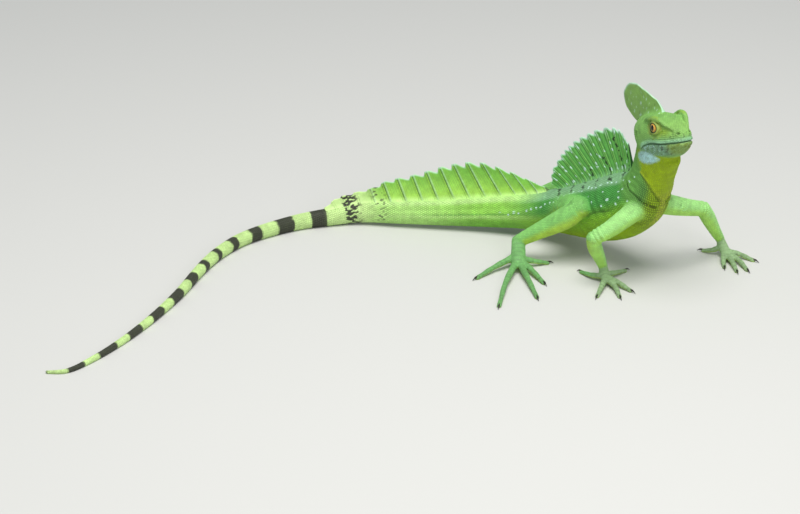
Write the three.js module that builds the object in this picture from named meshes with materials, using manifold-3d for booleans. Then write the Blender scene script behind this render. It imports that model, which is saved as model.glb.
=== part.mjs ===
// A life-size male green basilisk. It stands alert, its head raised and its long tail swept round behind it.
// Units are millimetres and +Z is up. The animal faces +X and a little -Y; its right side is towards -Y.
// The floor is Z = 0, and the group's origin is the middle of the whole animal's footprint.
import * as THREE from "three";
import { mergeVertices } from "three/addons/utils/BufferGeometryUtils.js";
import Module from "manifold-3d";

const wasm = await Module();
wasm.setup();

// Driving sizes of an adult male.
const GAP = 0.3; // clearance between neighbouring parts
const EYE_RADIUS = 4.6;
const LID_THICKNESS = 0.9;
const CLAW_LENGTH = 4.2;
const DORSAL_RAYS = 16;
const TAIL_RAYS = 14;
const UP = new THREE.Vector3(0, 0, 1);

// Skin colours, as they look in daylight.
const LEAF_GREEN = 0x4f9a2e;
const LIME_GREEN = 0x8fc32a;
const OLIVE_GREEN = 0x6f8f55;
const BAND_DARK = 0x2c3322;
const EYE_AMBER = 0xc98a2b;

const point = (x, y, z) => new THREE.Vector3(x, y, z);
const mix = (a, b, t) => a + (b - a) * t;
const radians = THREE.MathUtils.degToRad;

// A smooth curve through rows of numbers: u = 2.5 is halfway between rows 2 and 3.
function along(rows, u) {
  const last = rows.length - 1;
  const i = Math.min(Math.max(Math.floor(u), 0), last - 1);
  const f = u - i;
  const b = rows[i];
  const c = rows[i + 1];
  const a = i > 0 ? rows[i - 1] : b.map((v, k) => 2 * v - c[k]);
  const d = i + 2 <= last ? rows[i + 2] : c.map((v, k) => 2 * v - b[k]);
  return b.map((v, k) => {
    const linear = c[k] - a[k];
    const square = 2 * a[k] - 5 * v + 4 * c[k] - d[k];
    const cube = 3 * v - a[k] - 3 * c[k] + d[k];
    return v + 0.5 * f * (linear + f * (square + f * cube));
  });
}

// One frame on a course: its centre, the way it runs, and the directions of its left side and its back.
function frameOn(course, u) {
  const [x, y, z] = along(course.rows, u);
  const centre = point(x, y, z);
  const ahead = point(...along(course.rows, u + 0.02));
  const behind = point(...along(course.rows, u - 0.02));
  const run = ahead.sub(behind).normalize();
  const hint = course.hint ? course.hint(u) : UP;
  const back = hint.clone().addScaledVector(run, -hint.dot(run)).normalize();
  const side = new THREE.Vector3().crossVectors(back, run).normalize();
  return { centre, run, side, back };
}

// One oval ring. The top and the belly have their own heights, and a power over 2 makes the oval boxier.
function ovalRing(frame, halfWidth, top, bottom, count, power = 2) {
  return Array.from({ length: count }, (_, k) => {
    const angle = (2 * Math.PI * k) / count;
    const c = Math.cos(angle);
    const s = Math.sin(angle);
    const across = Math.sign(c) * Math.abs(c) ** (2 / power) * halfWidth;
    const up = Math.sign(s) * Math.abs(s) ** (2 / power) * (s > 0 ? top : bottom);
    return frame.centre.clone().addScaledVector(frame.side, across).addScaledVector(frame.back, up);
  });
}

// A closed solid through rings of equal count, with a fan at each end.
function loft(rings) {
  const count = rings[0].length;
  const places = rings.flat();
  const faces = [];
  for (let r = 0; r + 1 < rings.length; r++)
    for (let k = 0; k < count; k++) {
      const a = r * count + k;
      const b = r * count + ((k + 1) % count);
      faces.push(a, b, a + count, b, b + count, a + count);
    }
  for (const [ring, isLast] of [[0, false], [rings.length - 1, true]]) {
    const middle = rings[ring].reduce((sum, p) => sum.add(p), point(0, 0, 0)).divideScalar(count);
    const hub = places.push(middle) - 1;
    for (let k = 0; k < count; k++) {
      const a = ring * count + k;
      const b = ring * count + ((k + 1) % count);
      faces.push(...(isLast ? [a, b, hub] : [b, a, hub]));
    }
  }
  return solidOf(places, faces);
}

function solidOf(places, faces) {
  const vertProperties = new Float32Array(places.flatMap((p) => p.toArray()));
  const geometry = new THREE.BufferGeometry();
  geometry.setAttribute("position", new THREE.BufferAttribute(vertProperties, 3));
  geometry.setIndex(faces);
  const merged = mergeVertices(geometry, 1e-4);
  const mesh = new wasm.Mesh({
    numProp: 3,
    vertProperties: merged.attributes.position.array,
    triVerts: new Uint32Array(merged.index.array),
  });
  const made = new wasm.Manifold(mesh);
  if (made.volume() > 0) return made;
  mesh.triVerts = mesh.triVerts.map((_, i, all) => all[i - (i % 3) + [0, 2, 1][i % 3]]);
  return new wasm.Manifold(mesh);
}

const union = (pieces) => pieces.reduce((sum, piece) => sum.add(piece));

// The largest closed surface of a solid, so that a cut leaves no loose scrap.
function largest(solid) {
  const bodies = solid.decompose().filter((b) => b.volume() > 0);
  return bodies.sort((a, b) => b.volume() - a.volume())[0];
}

function boxSolid(size, centre) {
  const box = new THREE.BoxGeometry(size.x, size.y, size.z);
  box.translate(centre.x, centre.y, centre.z);
  return fromGeometry(box);
}

function fromGeometry(geometry) {
  geometry.deleteAttribute("normal");
  geometry.deleteAttribute("uv");
  const merged = mergeVertices(geometry, 1e-4);
  const position = merged.attributes.position;
  const placeAt = (_, i) => point(0, 0, 0).fromBufferAttribute(position, i);
  const places = Array.from({ length: position.count }, placeAt);
  const whole = Array.from(merged.index.array);
  const faces = [];
  for (let i = 0; i < whole.length; i += 3) {
    const [a, b, c] = whole.slice(i, i + 3);
    if (a !== b && b !== c && a !== c) faces.push(a, b, c);
  }
  return solidOf(places, faces);
}

function ball(centre, radius, detail = 12) {
  const sphere = new THREE.SphereGeometry(radius, detail, Math.round(detail * 0.7));
  sphere.translate(centre.x, centre.y, centre.z);
  return fromGeometry(sphere);
}

const underfloor = boxSolid(point(1200, 1200, 60), point(0, 0, -30));

// The trunk, neck and tail are one course from the nape to the tail's tip.
// Each row: place of the middle (x, y, z), half width, height of the back and depth of the belly.
const BODY_ROWS = [
  [70, -75, 117, 8.5, 8, 13],
  [65.5, -69, 104, 11.2, 10.5, 25],
  [64, -66, 88, 12, 12, 22],
  [62.5, -64, 74, 13.4, 14.5, 18.5],
  [57.5, -58, 60, 16.6, 18, 22],
  [47, -46, 50, 19.5, 20, 26],
  [33, -31, 40, 19.5, 19, 25.5],
  [17, -14.5, 31, 16, 16.5, 21],
  [0, 0, 23.5, 13.8, 14, 16],
  [-21, 10, 18.5, 10.8, 12, 13.5],
  [-50, 17, 15, 8.8, 10.5, 11.8],
  [-80, 21, 12.5, 7.5, 9.4, 10],
  [-110, 25, 10.8, 6.6, 8.6, 8.8],
  [-138, 29, 9, 5.9, 7.5, 7.8],
  [-160, 25.5, 6.7, 5.3, 6.3, 6.5],
  [-182, 19, 5.5, 5, 5.4, 5.65],
  [-204, 5.5, 5, 4.7, 4.8, 5.15],
  [-222, -10.5, 4.7, 4.4, 4.5, 4.85],
  [-235, -29.5, 4.4, 4.1, 4.2, 4.55],
  [-244, -48.5, 4.1, 3.9, 4, 4.25],
  [-252, -71, 3.8, 3.6, 3.7, 3.95],
  [-260, -97, 3.5, 3.3, 3.4, 3.65],
  [-270, -123, 3.1, 2.9, 3, 3.25],
  [-282, -150, 2.7, 2.6, 2.7, 2.85],
  [-296, -176.5, 2.3, 2.2, 2.3, 2.45],
  [-312, -201, 1.9, 1.9, 1.9, 2.05],
  [-327, -217.5, 1.5, 1.5, 1.5, 1.65],
  [-341, -219, 1.05, 1, 1, 1.2],
];
const NAPE_BACK = point(-0.45, 0.62, 0.64).normalize(); // which way the neck's back faces
const NECK_ROWS = 4; // rows over which that turns to straight up
const body = {
  rows: BODY_ROWS,
  hint: (u) => {
    const t = THREE.MathUtils.smoothstep(u, 1, NECK_ROWS + 2);
    return NAPE_BACK.clone().lerp(UP, t).normalize();
  },
};

// The stretch of the body from row u0 to row u1, made fatter by grow.
function bodyPart(u0, u1, steps, around, grow = 0) {
  const rings = [];
  for (let i = 0; i <= steps; i++) {
    const u = mix(u0, u1, i / steps);
    const [, , , halfWidth, top, bottom] = along(BODY_ROWS, u);
    rings.push(ovalRing(frameOn(body, u), halfWidth + grow, top + grow, bottom + grow, around, 2.15));
  }
  return loft(rings);
}

// How far in rows the gap between two parts reaches at row u.
const rowShare = (u) => {
  const here = point(...along(BODY_ROWS, u));
  return (GAP / 2 / here.distanceTo(point(...along(BODY_ROWS, u + 0.05)))) * 0.05;
};
const NECK_END = 3.6;
const TORSO_END = 8.7;
const TAIL_CUTS = [TORSO_END, 11.5, 14.5, 17.5, 20.5, 24, 27];
const between = (u0, u1, steps, around) => bodyPart(u0 + rowShare(u0), u1 - rowShare(u1), steps, around);

// The head, in its own frame: x forward from the neck joint, y to the animal's left, z up from the mouth.
const HEAD_PLACE = point(61.6, -62.3, 108.6);
const HEAD_TURN = radians(27); // from straight ahead of the camera towards +X
const HEAD_LIFT = radians(15);
// Each row: x, half width, height of the crown, depth of the jaw, boxiness, and how far the snout droops.
const HEAD_ROWS = [
  [-5, 9.2, 9, 13.5, 2.1, 0],
  [0, 11.6, 11.6, 16.5, 2.1, 0],
  [6, 13.6, 13, 17.5, 2.2, 0],
  [12, 14.5, 13.6, 18, 2.3, 0],
  [18, 14.1, 13.8, 18, 2.4, 0],
  [24, 13.2, 13.4, 17.5, 2.5, 0],
  [30, 12, 12, 16.3, 2.5, -0.1],
  [36, 10, 9.9, 14.2, 2.5, -0.4],
  [41.5, 8.1, 8.2, 11.2, 2.5, -0.9],
  [45.5, 6.4, 6.7, 8.2, 2.4, -1.5],
  [48, 4.4, 4.6, 5.4, 2.3, -2],
  [49, 1.7, 1.7, 2.4, 2.1, -2.3],
];

function headShell(grow, steps = 18, around = 24) {
  const rings = [];
  for (let i = 0; i <= steps; i++) {
    const u = (i / steps) * (HEAD_ROWS.length - 1);
    const [x, halfWidth, top, bottom, power, droop] = along(HEAD_ROWS, u);
    const centre = point(x + grow * (i / steps), 0, droop);
    const frame = { centre, side: point(0, 1, 0), back: UP };
    rings.push(ovalRing(frame, Math.max(halfWidth + grow, 0.4), top + grow, bottom + grow, around, power));
  }
  return loft(rings);
}

// A smooth tube with rounded ends: rows of x, y, z and radius.
function tube(rows, steps, around, grow = 0, flatness = 1, hint = UP) {
  const course = { rows, hint: () => hint };
  const rings = [];
  const last = rows.length - 1;
  const CAP = [0.4, 0.8];
  const first = frameOn(course, 0);
  const [, , , r0] = rows[0];
  const cap = (frame, radius, share, way) => {
    const r = radius * Math.sin((share * Math.PI) / 2);
    const out = way * radius * Math.cos((share * Math.PI) / 2);
    const centre = frame.centre.clone().addScaledVector(frame.run, out);
    rings.push(ovalRing({ ...frame, centre }, r, r * flatness, r * flatness, around));
  };
  for (const share of CAP) cap(first, r0 + grow, share, -1);
  for (let i = 0; i <= steps; i++) {
    const u = (i / steps) * last;
    const [, , , radius] = along(rows, u);
    const r = Math.max(radius + grow, 0.25);
    rings.push(ovalRing(frameOn(course, u), r, r * flatness, r * flatness, around));
  }
  const end = frameOn(course, last);
  const [, , , r1] = rows[last];
  for (const share of CAP.toReversed()) cap(end, r1 + grow, share, 1);
  return loft(rings);
}

// The eye, with lids that leave an almond opening round it.
const EYE_AT = { x: 28, y: 9.4, z: 6.2 };
const LID_OPENING = { half: 4.3, height: 3.4 };

function headSolid() {
  let head = headShell(0);
  for (const s of [1, -1]) {
    const eye = point(EYE_AT.x, s * EYE_AT.y, EYE_AT.z);
    const lids = ball(eye, EYE_RADIUS + GAP + LID_THICKNESS);
    const browRows = [
      [43, s * 5.6, 4.6, 1],
      [37, s * 8.4, 8.4, 1.5],
      [31, s * 10.8, 12, 1.9],
      [24, s * 11.8, 12.8, 1.8],
      [17, s * 11.8, 10.8, 1.2],
    ];
    const socket = ball(eye, EYE_RADIUS + GAP);
    const slitRows = [
      [EYE_AT.x + 0.5, s * (EYE_AT.y + 2), EYE_AT.z - 0.3, LID_OPENING.half],
      [EYE_AT.x + 0.5, s * (EYE_AT.y + 9), EYE_AT.z - 0.3, LID_OPENING.half],
    ];
    const slit = tube(slitRows, 1, 14, 0, LID_OPENING.height / LID_OPENING.half);
    const nostril = ball(point(45.2, s * 5.6, 3.4), 1.1, 8);
    const ear = ball(point(7.5, s * 17.2, 0.6), 4.6, 10);
    head = head.add(lids).add(tube(browRows, 7, 8));
    head = head.subtract(socket).subtract(slit).subtract(nostril).subtract(ear);
  }
  return head;
}

// The mouth: a narrow groove between raised lips, from jaw corner to jaw corner round the snout.
// Each row: x along the head and z of the lips' meeting line.
const MOUTH_ROWS = [
  [11, -9.4],
  [15, -6.8],
  [22, -5.1],
  [33, -5],
  [43, -4.1],
  [52, -3.2],
];
function mouthSlab(thickness, reach) {
  const rings = [];
  const STEPS = 8;
  for (let i = 0; i <= STEPS; i++) {
    const [x, z] = along(MOUTH_ROWS, (i / STEPS) * (MOUTH_ROWS.length - 1));
    const t = thickness / 2;
    const corners = [[-reach, -t], [reach, -t], [reach, t], [-reach, t]];
    rings.push(corners.map(([y, dz]) => point(x, y, z + dz)));
  }
  return loft(rings);
}

function finishedHead() {
  const LIP_HEIGHT = 3.4;
  const LIP_SWELL = 0.45;
  const GROOVE_WIDTH = 0.6;
  const GROOVE_DEPTH = 1.1;
  const lips = headShell(LIP_SWELL).intersect(mouthSlab(LIP_HEIGHT, 20));
  const groove = mouthSlab(GROOVE_WIDTH, 20).subtract(headShell(-GROOVE_DEPTH, 12, 16));
  return largest(headSolid().add(lips).subtract(groove));
}

// A thin fin that stands on a curve of roots. rays gives, for each share of its length from 0 to 1,
// the root, the way the ray points, how long it is and the fin's sideways direction.
function fin(rays, rayCount, foot, edge, ridge, scallop) {
  const PER_RAY = 4;
  const HEIGHTS = [0, 0.45, 1];
  const columns = rayCount * PER_RAY;
  const places = [];
  const faces = [];
  const rows = HEIGHTS.length;
  for (const face of [1, -1])
    for (let c = 0; c <= columns; c++) {
      const t = c / columns;
      const { root, way, length, side } = rays(t);
      const phase = (c % PER_RAY) / PER_RAY;
      const onRay = 0.5 + 0.5 * Math.cos(2 * Math.PI * phase);
      const reach = length * (1 - scallop * (1 - onRay));
      for (const h of HEIGHTS) {
        const thickness = mix(foot, edge, h ** 0.6) + ridge * onRay * (1 - 0.6 * h);
        const offset = side.clone().multiplyScalar((face * thickness) / 2);
        places.push(offset.add(root).addScaledVector(way, reach * h));
      }
    }
  const at = (f, c, r) => f * (columns + 1) * rows + c * rows + r;
  for (let c = 0; c < columns; c++)
    for (let r = 0; r + 1 < rows; r++) {
      for (const f of [0, 1]) {
        const near = [at(f, c, r), at(f, c, r + 1), at(f, c + 1, r)];
        const far = [at(f, c + 1, r), at(f, c, r + 1), at(f, c + 1, r + 1)];
        faces.push(...(f === 0 ? near : near.toReversed()), ...(f === 0 ? far : far.toReversed()));
      }
    }
  for (let c = 0; c < columns; c++)
    for (const [r, flip] of [[0, false], [rows - 1, true]]) {
      const quad = [at(0, c, r), at(0, c + 1, r), at(1, c + 1, r), at(1, c, r)];
      const [a, b, d, e] = flip ? quad.toReversed() : quad;
      faces.push(a, b, d, a, d, e);
    }
  for (let r = 0; r + 1 < rows; r++)
    for (const [c, flip] of [[0, true], [columns, false]]) {
      const quad = [at(0, c, r), at(0, c, r + 1), at(1, c, r + 1), at(1, c, r)];
      const [a, b, d, e] = flip ? quad.toReversed() : quad;
      faces.push(a, b, d, a, d, e);
    }
  return solidOf(places, faces);
}

// A fin on the animal's back between two rows of the body.
// lengths and leans are smooth tables of its rays from its back end to its front end.
function backFin(u0, u1, lengths, leans, rayCount, foot) {
  const SINK = 2.5; // how deep the fin's foot starts inside the back, before the cut
  const rays = (t) => {
    const u = mix(u0, u1, t);
    const { centre, run, side, back } = frameOn(body, u);
    const [, , , , top] = along(BODY_ROWS, u);
    const [length] = along(lengths.map((v) => [v]), t * (lengths.length - 1));
    const [lean] = along(leans.map((v) => [v]), t * (leans.length - 1));
    // run points to the tail's tip, so a positive lean tips a ray backwards.
    const way = back.clone().multiplyScalar(Math.cos(radians(lean)));
    way.addScaledVector(run, Math.sin(radians(lean)));
    const root = centre.clone().addScaledVector(back, top - SINK);
    return { root, way, length: Math.max(length, 0.6) + SINK, side };
  };
  return fin(rays, rayCount, foot, 0.8, 0.9, 0.1);
}

// The tall casque on the back of the skull, in the head's frame: a rounded petal that leans backwards.
// Each row: x and z of a ray's root inside the skull, then x and z of its end on the petal's edge.
const CASQUE_ROWS = [
  [21.5, 11, 21.8, 14.6],
  [19, 11.2, 17.4, 20.6],
  [16.5, 11.2, 11.4, 24],
  [13, 11, 1, 28.2],
  [10, 10.8, -8.8, 31.8],
  [7, 10.6, -19.7, 32.2],
  [4, 10, -28.6, 26.6],
  [1, 9, -29.8, 19],
  [-2, 8, -24.5, 12],
  [-4, 6.5, -15, 6],
];
function headCrest() {
  const CASQUE_RAYS = 7;
  const rays = (t) => {
    const [rootX, rootZ, endX, endZ] = along(CASQUE_ROWS, t * (CASQUE_ROWS.length - 1));
    const root = point(rootX, 0, rootZ);
    const way = point(endX, 0, endZ).sub(root);
    const length = way.length();
    return { root, way: way.divideScalar(length), length, side: point(0, 1, 0) };
  };
  return fin(rays, CASQUE_RAYS, 4, 1.1, 0.3, 0.02);
}

// Limbs. Each row: x, y, z and radius. The first row is deep inside the body.
const LEGS = {
  front_right: {
    upper: [[57, -68, 56, 7.6], [49, -75, 51.5, 6.8], [36, -79.5, 43, 5.8], [24, -81, 36, 4.9]],
    lower: [[24, -81, 36, 4.8], [25.5, -77.5, 28, 5.1], [29.5, -72, 17, 4], [32, -68, 9.5, 3.2]],
    palm: [[32, -68, 9.5, 3.1], [33, -72, 6, 3.5], [34, -77, 3.6, 3.3]],
    toes: [
      [[34, -71, 4.6], [41, -65, 3], [48.5, -57, 1.05]],
      [[36, -76, 3.6], [43.5, -84, 3.1], [50, -91, 1.05]],
      [[35, -78, 3.6], [39.5, -89, 3.2], [42, -101, 1.05]],
      [[33, -78, 3.6], [30, -89, 3.2], [26.5, -100, 1.05]],
      [[31.5, -73, 4.2], [24.5, -69, 3], [17.5, -59.5, 1.05]],
    ],
  },
  front_left: {
    upper: [[70, -57, 53, 7.8], [82, -53.5, 49, 6.8], [93, -46.5, 44.5, 5.8], [103, -40, 41, 5]],
    lower: [[103, -40, 41, 4.9], [107, -36.5, 33, 5.2], [113, -29.5, 20, 4.1], [117.5, -24, 11, 3.2]],
    palm: [[117.5, -24, 11, 3.1], [119.5, -28, 6.4, 3.7], [121.5, -34, 3.6, 3.4]],
    toes: [
      [[118, -27, 6], [112.5, -26.5, 3.4], [106, -22.5, 1.05]],
      [[120, -33, 3.8], [118.5, -42.5, 3.2], [118.5, -51, 1.05]],
      [[121.5, -35, 3.6], [124.5, -46.5, 3.2], [126.5, -58, 1.05]],
      [[123, -34, 3.6], [129.5, -44.5, 3.2], [134, -56, 1.05]],
      [[122.5, -30.5, 4], [131, -33.5, 3.1], [140, -39.5, 1.05]],
    ],
  },
  hind_right: {
    upper: [[4, -6, 25, 9.6], [9, -20, 33, 9.8], [13.5, -34, 40, 8.8], [17, -45, 44, 7]],
    lower: [[17, -45, 44, 6.8], [6, -43.5, 35, 7.7], [-11, -39.5, 24, 5.9], [-26, -36, 14.5, 4.3]],
    palm: [[-26, -36, 14.5, 4.2], [-26, -43, 10.2, 4], [-26.5, -51, 6, 4.4]],
    toes: [
      [[-23.5, -48, 6], [-15, -47.5, 4], [-5.5, -44, 1.1]],
      [[-24, -51, 5.6], [-16.5, -64, 3.8], [-9.5, -78, 1.1]],
      [[-25.5, -53, 5.2], [-20.5, -76, 3.8], [-15, -102, 1.1]],
      [[-28, -53, 5.2], [-36, -83, 3.8], [-41.5, -116, 1.1]],
      [[-30, -47, 6.4], [-43, -57, 3.8], [-55.5, -69.5, 1.1]],
    ],
  },
  hind_left: {
    upper: [[2, 4, 24, 9.6], [10, 13.5, 28.5, 9.4], [18, 21, 32.5, 8.4], [25, 26, 35.5, 6.8]],
    lower: [[25, 26, 35.5, 6.6], [15, 33, 29, 7.5], [0, 42, 20, 5.8], [-11, 48, 13.5, 4.3]],
    palm: [[-11, 48, 13.5, 4.2], [-6, 53.5, 9.8, 4], [0.5, 60, 6, 4.4]],
    toes: [
      [[2, 57, 6], [10, 55.5, 3.9], [18.5, 52, 1.1]],
      [[3.5, 60, 5.4], [15, 65, 3.8], [26.5, 69, 1.1]],
      [[4, 62, 5.2], [20.5, 75.5, 3.8], [36, 89, 1.1]],
      [[2, 63.5, 5.2], [13.5, 88, 3.8], [24.5, 115, 1.1]],
      [[-3.5, 57, 6.4], [-9, 72.5, 3.8], [-15.5, 88, 1.1]],
    ],
  },
};
const TOE_THICK = { front: [2.5, 2, 1.55], hind: [2.9, 2.15, 1.6] };

// A toe with its claw: the claw goes on the way the toe ends, arches and comes down to a point.
function toe(rows, thickness) {
  const sized = rows.map((row, i) => [...row, thickness[i]]);
  const [, middle, tip] = rows.map((row) => point(...row));
  const way = tip.clone().sub(middle).setZ(0).normalize();
  const claw = [
    [0, 0.2, thickness[2] * 0.72],
    [CLAW_LENGTH * 0.55, 0.6, thickness[2] * 0.5],
    [CLAW_LENGTH, -0.7, 0.3],
  ].map(([out, rise, radius]) => [tip.x + way.x * out, tip.y + way.y * out, tip.z + rise, radius]);
  return union([tube(sized, 3, 6, 0, 0.92), tube(claw, 2, 4)]);
}

function foot(leg, kind) {
  const toes = leg.toes.map((rows) => toe(rows, TOE_THICK[kind]));
  return union([tube(leg.palm, 4, 8, 0, 0.8), ...toes]);
}

// The whole body fattened by the gap cuts what grows from it.
const cutBody = bodyPart(1, 12, 40, 28, GAP);
const cutHead = headShell(GAP + 0.45);
const faceWay = point(0, -1, 0).applyAxisAngle(UP, HEAD_TURN);
const headLeft = point(1, 0, 0).applyAxisAngle(UP, HEAD_TURN);
const snoutWay = faceWay.clone().multiplyScalar(Math.cos(HEAD_LIFT)).addScaledVector(UP, Math.sin(HEAD_LIFT));
const crownWay = new THREE.Vector3().crossVectors(snoutWay, headLeft);
const headMatrix = new THREE.Matrix4().makeBasis(snoutWay, headLeft, crownWay).setPosition(HEAD_PLACE);

const lizard = new THREE.Group();
const headGroup = new THREE.Group();
headGroup.applyMatrix4(headMatrix);
lizard.add(headGroup);

function addNode(parent, name, solid, color, roughness = 0.55) {
  const { numProp, vertProperties, triVerts, numVert } = largest(solid).getMesh();
  const positions = new Float32Array(numVert * 3);
  for (let i = 0; i < numVert; i++) {
    const from = i * numProp;
    positions.set(vertProperties.subarray(from, from + 3), i * 3);
  }
  const geometry = new THREE.BufferGeometry();
  geometry.setAttribute("position", new THREE.BufferAttribute(positions, 3));
  geometry.setIndex(new THREE.BufferAttribute(triVerts, 1));
  geometry.computeVertexNormals();
  const mesh = new THREE.Mesh(geometry, new THREE.MeshStandardMaterial({ color, roughness, metalness: 0 }));
  mesh.name = name;
  parent.add(mesh);
}

// Head and what it carries.
addNode(headGroup, "head", finishedHead(), LEAF_GREEN);
for (const [name, s] of [["eye_left", 1], ["eye_right", -1]])
  addNode(headGroup, name, ball(point(EYE_AT.x, s * EYE_AT.y, EYE_AT.z), EYE_RADIUS), EYE_AMBER, 0.1);
addNode(headGroup, "head_crest", headCrest().subtract(cutHead), LEAF_GREEN);

// Neck, torso and the lengths of the tail.
const headCutter = cutHead.transform(headMatrix.toArray());
const neck = bodyPart(0.2, NECK_END - rowShare(NECK_END), 10, 24);
addNode(lizard, "neck", neck.subtract(headCutter), LIME_GREEN);
addNode(lizard, "torso", between(NECK_END, TORSO_END, 16, 28), LEAF_GREEN);
for (let i = 0; i + 1 < TAIL_CUTS.length; i++) {
  const steps = i === 0 ? 8 : 9;
  const around = i < 2 ? 16 : 12;
  const piece = between(TAIL_CUTS[i], TAIL_CUTS[i + 1], steps, around).subtract(underfloor);
  addNode(lizard, `tail_${i + 1}`, piece, i < 2 ? LEAF_GREEN : BAND_DARK);
}

// Fins of the back and the tail.
// Ray lengths in mm and leans in degrees, from each fin's back end to its front end.
const DORSAL_LENGTHS = [8, 17, 23, 28, 31, 34, 34.5, 35, 33, 29, 22, 15];
const DORSAL_LEANS = [56, 48, 40, 36, 33, 27, 18, 8, -4, -16, -30, -42];
const TAIL_LENGTHS = [1.5, 7.2, 8.3, 10.5, 16.5, 19.5, 23.3, 27.3, 29.4, 29, 23.5, 15.5, 4];
const TAIL_LEANS = [22, 20, 18, 18, 18, 20, 24, 30, 38];
const dorsal = backFin(7.45, 3.55, DORSAL_LENGTHS, DORSAL_LEANS, DORSAL_RAYS, 2.4);
const tailFin = backFin(14.1, 7.95, TAIL_LENGTHS, TAIL_LEANS, TAIL_RAYS, 2.4);
addNode(lizard, "dorsal_crest", dorsal.subtract(cutBody), LEAF_GREEN);
addNode(lizard, "tail_crest", tailFin.subtract(bodyPart(7, 15, 40, 16, GAP)), LIME_GREEN);

// Legs, each cut clear of what it grows from.
for (const [name, leg] of Object.entries(LEGS)) {
  const kind = name.split("_")[0];
  const upperFat = tube(leg.upper, 6, 12, GAP);
  const lowerFat = tube(leg.lower, 6, 10, GAP);
  addNode(lizard, `${name}_upper_leg`, tube(leg.upper, 6, 12).subtract(cutBody), LIME_GREEN);
  const lowerLeg = tube(leg.lower, 6, 10).subtract(upperFat);
  addNode(lizard, `${name}_lower_leg`, lowerLeg.subtract(cutBody), LIME_GREEN);
  addNode(lizard, `${name}_foot`, foot(leg, kind).subtract(lowerFat).subtract(underfloor), OLIVE_GREEN);
}

// The origin is the middle of the footprint, on the floor.
lizard.updateMatrixWorld(true);
const middle = new THREE.Box3().setFromObject(lizard, true).getCenter(point(0, 0, 0));
lizard.position.set(-middle.x, -middle.y, 0);

export default lizard;
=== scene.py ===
# %% [markdown]
# # A life-size green basilisk
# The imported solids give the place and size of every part. This script grows one smooth skin over them,
# lays scales on it in rows, and adds the fine crests, the eyes and the claws. Lengths are in millimetres,
# in the frame the animal was drawn in, and one helper turns them into Blender's metres.

# %% Load the frame
import math

import bmesh
import bpy
import numpy as np
from mathutils.bvhtree import BVHTree
from mathutils.kdtree import KDTree
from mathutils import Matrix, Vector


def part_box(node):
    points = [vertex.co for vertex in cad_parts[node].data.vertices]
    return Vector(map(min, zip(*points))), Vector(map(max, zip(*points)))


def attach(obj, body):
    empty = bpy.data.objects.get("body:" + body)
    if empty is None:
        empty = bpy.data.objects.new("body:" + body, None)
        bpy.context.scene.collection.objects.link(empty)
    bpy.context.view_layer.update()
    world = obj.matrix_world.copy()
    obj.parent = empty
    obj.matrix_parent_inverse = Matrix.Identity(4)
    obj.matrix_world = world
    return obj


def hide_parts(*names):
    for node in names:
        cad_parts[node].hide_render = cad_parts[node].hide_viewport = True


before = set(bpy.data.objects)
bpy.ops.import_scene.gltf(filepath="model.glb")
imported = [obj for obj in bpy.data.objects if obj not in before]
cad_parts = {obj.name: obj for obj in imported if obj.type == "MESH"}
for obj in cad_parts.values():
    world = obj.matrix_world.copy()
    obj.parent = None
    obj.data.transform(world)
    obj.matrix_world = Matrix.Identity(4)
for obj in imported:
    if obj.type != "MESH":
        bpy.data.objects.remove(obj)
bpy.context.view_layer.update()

# %% [markdown]
# ## Camera, light and floor
# The photograph was taken with a long lens from about two metres, looking down at 24 degrees. A long lens
# keeps the tail and the head at nearly one scale. Big soft lamps stand in for an overcast sky, and the
# floor is plain and pale so that the greens are judged on their own.

# %% Stage
def set_inputs(node, **values):
    for name, value in values.items():
        node.inputs[name.replace("_", " ")].default_value = value


def new_material(name):
    material = bpy.data.materials.new(name)
    material.use_nodes = True
    return material, material.node_tree, material.node_tree.nodes["Principled BSDF"]


CAMERA_AT = (-0.0107, -2.0639, 0.9275)
LOOK_DOWN = 24  # degrees
LENS, SENSOR = 144.9, 36  # millimetres
DRAWN_MIDDLE = np.array([-98.597, -50.634, 0.0])  # the footprint's middle in the drawn frame


def place_camera():
    lens = bpy.data.cameras.new("camera")
    lens.sensor_width = SENSOR
    lens.lens = LENS
    lens.clip_end = 50
    camera = bpy.data.objects.new("camera", lens)
    camera.location = CAMERA_AT
    camera.rotation_euler = (math.radians(90 - LOOK_DOWN), 0, 0)
    bpy.context.collection.objects.link(camera)
    bpy.context.scene.camera = camera


def soft_lamp(name, place, aim, size, power, tint):
    light = bpy.data.lights.new(name, "AREA")
    light.shape = "DISK"
    light.size = size
    light.energy = power
    light.color = tint
    lamp = bpy.data.objects.new(name, light)
    lamp.location = place
    toward = np.array(aim) - np.array(place)
    tilt = math.acos(-toward[2] / np.linalg.norm(toward))
    lamp.rotation_euler = (tilt, 0, math.atan2(toward[0], -toward[1]) + math.pi)
    bpy.context.collection.objects.link(lamp)


place_camera()
bpy.context.scene.view_settings.view_transform = "Standard"  # shows a tint as it was chosen
soft_lamp("sky", (0.12, -0.42, 1.5), (0, 0, 0.03), 1.1, 25, (1, 0.985, 0.95))
soft_lamp("front", (0.7, -1.6, 0.8), (0.1, 0, 0.05), 0.8, 6, (1, 0.99, 0.97))
world = bpy.data.worlds.new("room")
world.use_nodes = True
set_inputs(world.node_tree.nodes["Background"], Color=(0.9, 0.95, 1, 1), Strength=0.42)
bpy.context.scene.world = world

floor_mesh = bpy.data.meshes.new("floor")
floor_mesh.from_pydata([(-8, -8, 0), (8, -8, 0), (8, 8, 0), (-8, 8, 0)], [], [(0, 1, 2, 3)])
floor = bpy.data.objects.new("floor", floor_mesh)
bpy.context.collection.objects.link(floor)
paper, _, paper_shader = new_material("pale_floor")
set_inputs(paper_shader, Base_Color=(0.6, 0.6, 0.58, 1), Roughness=0.9)
floor_mesh.materials.append(paper)
print("stage ready")

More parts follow.
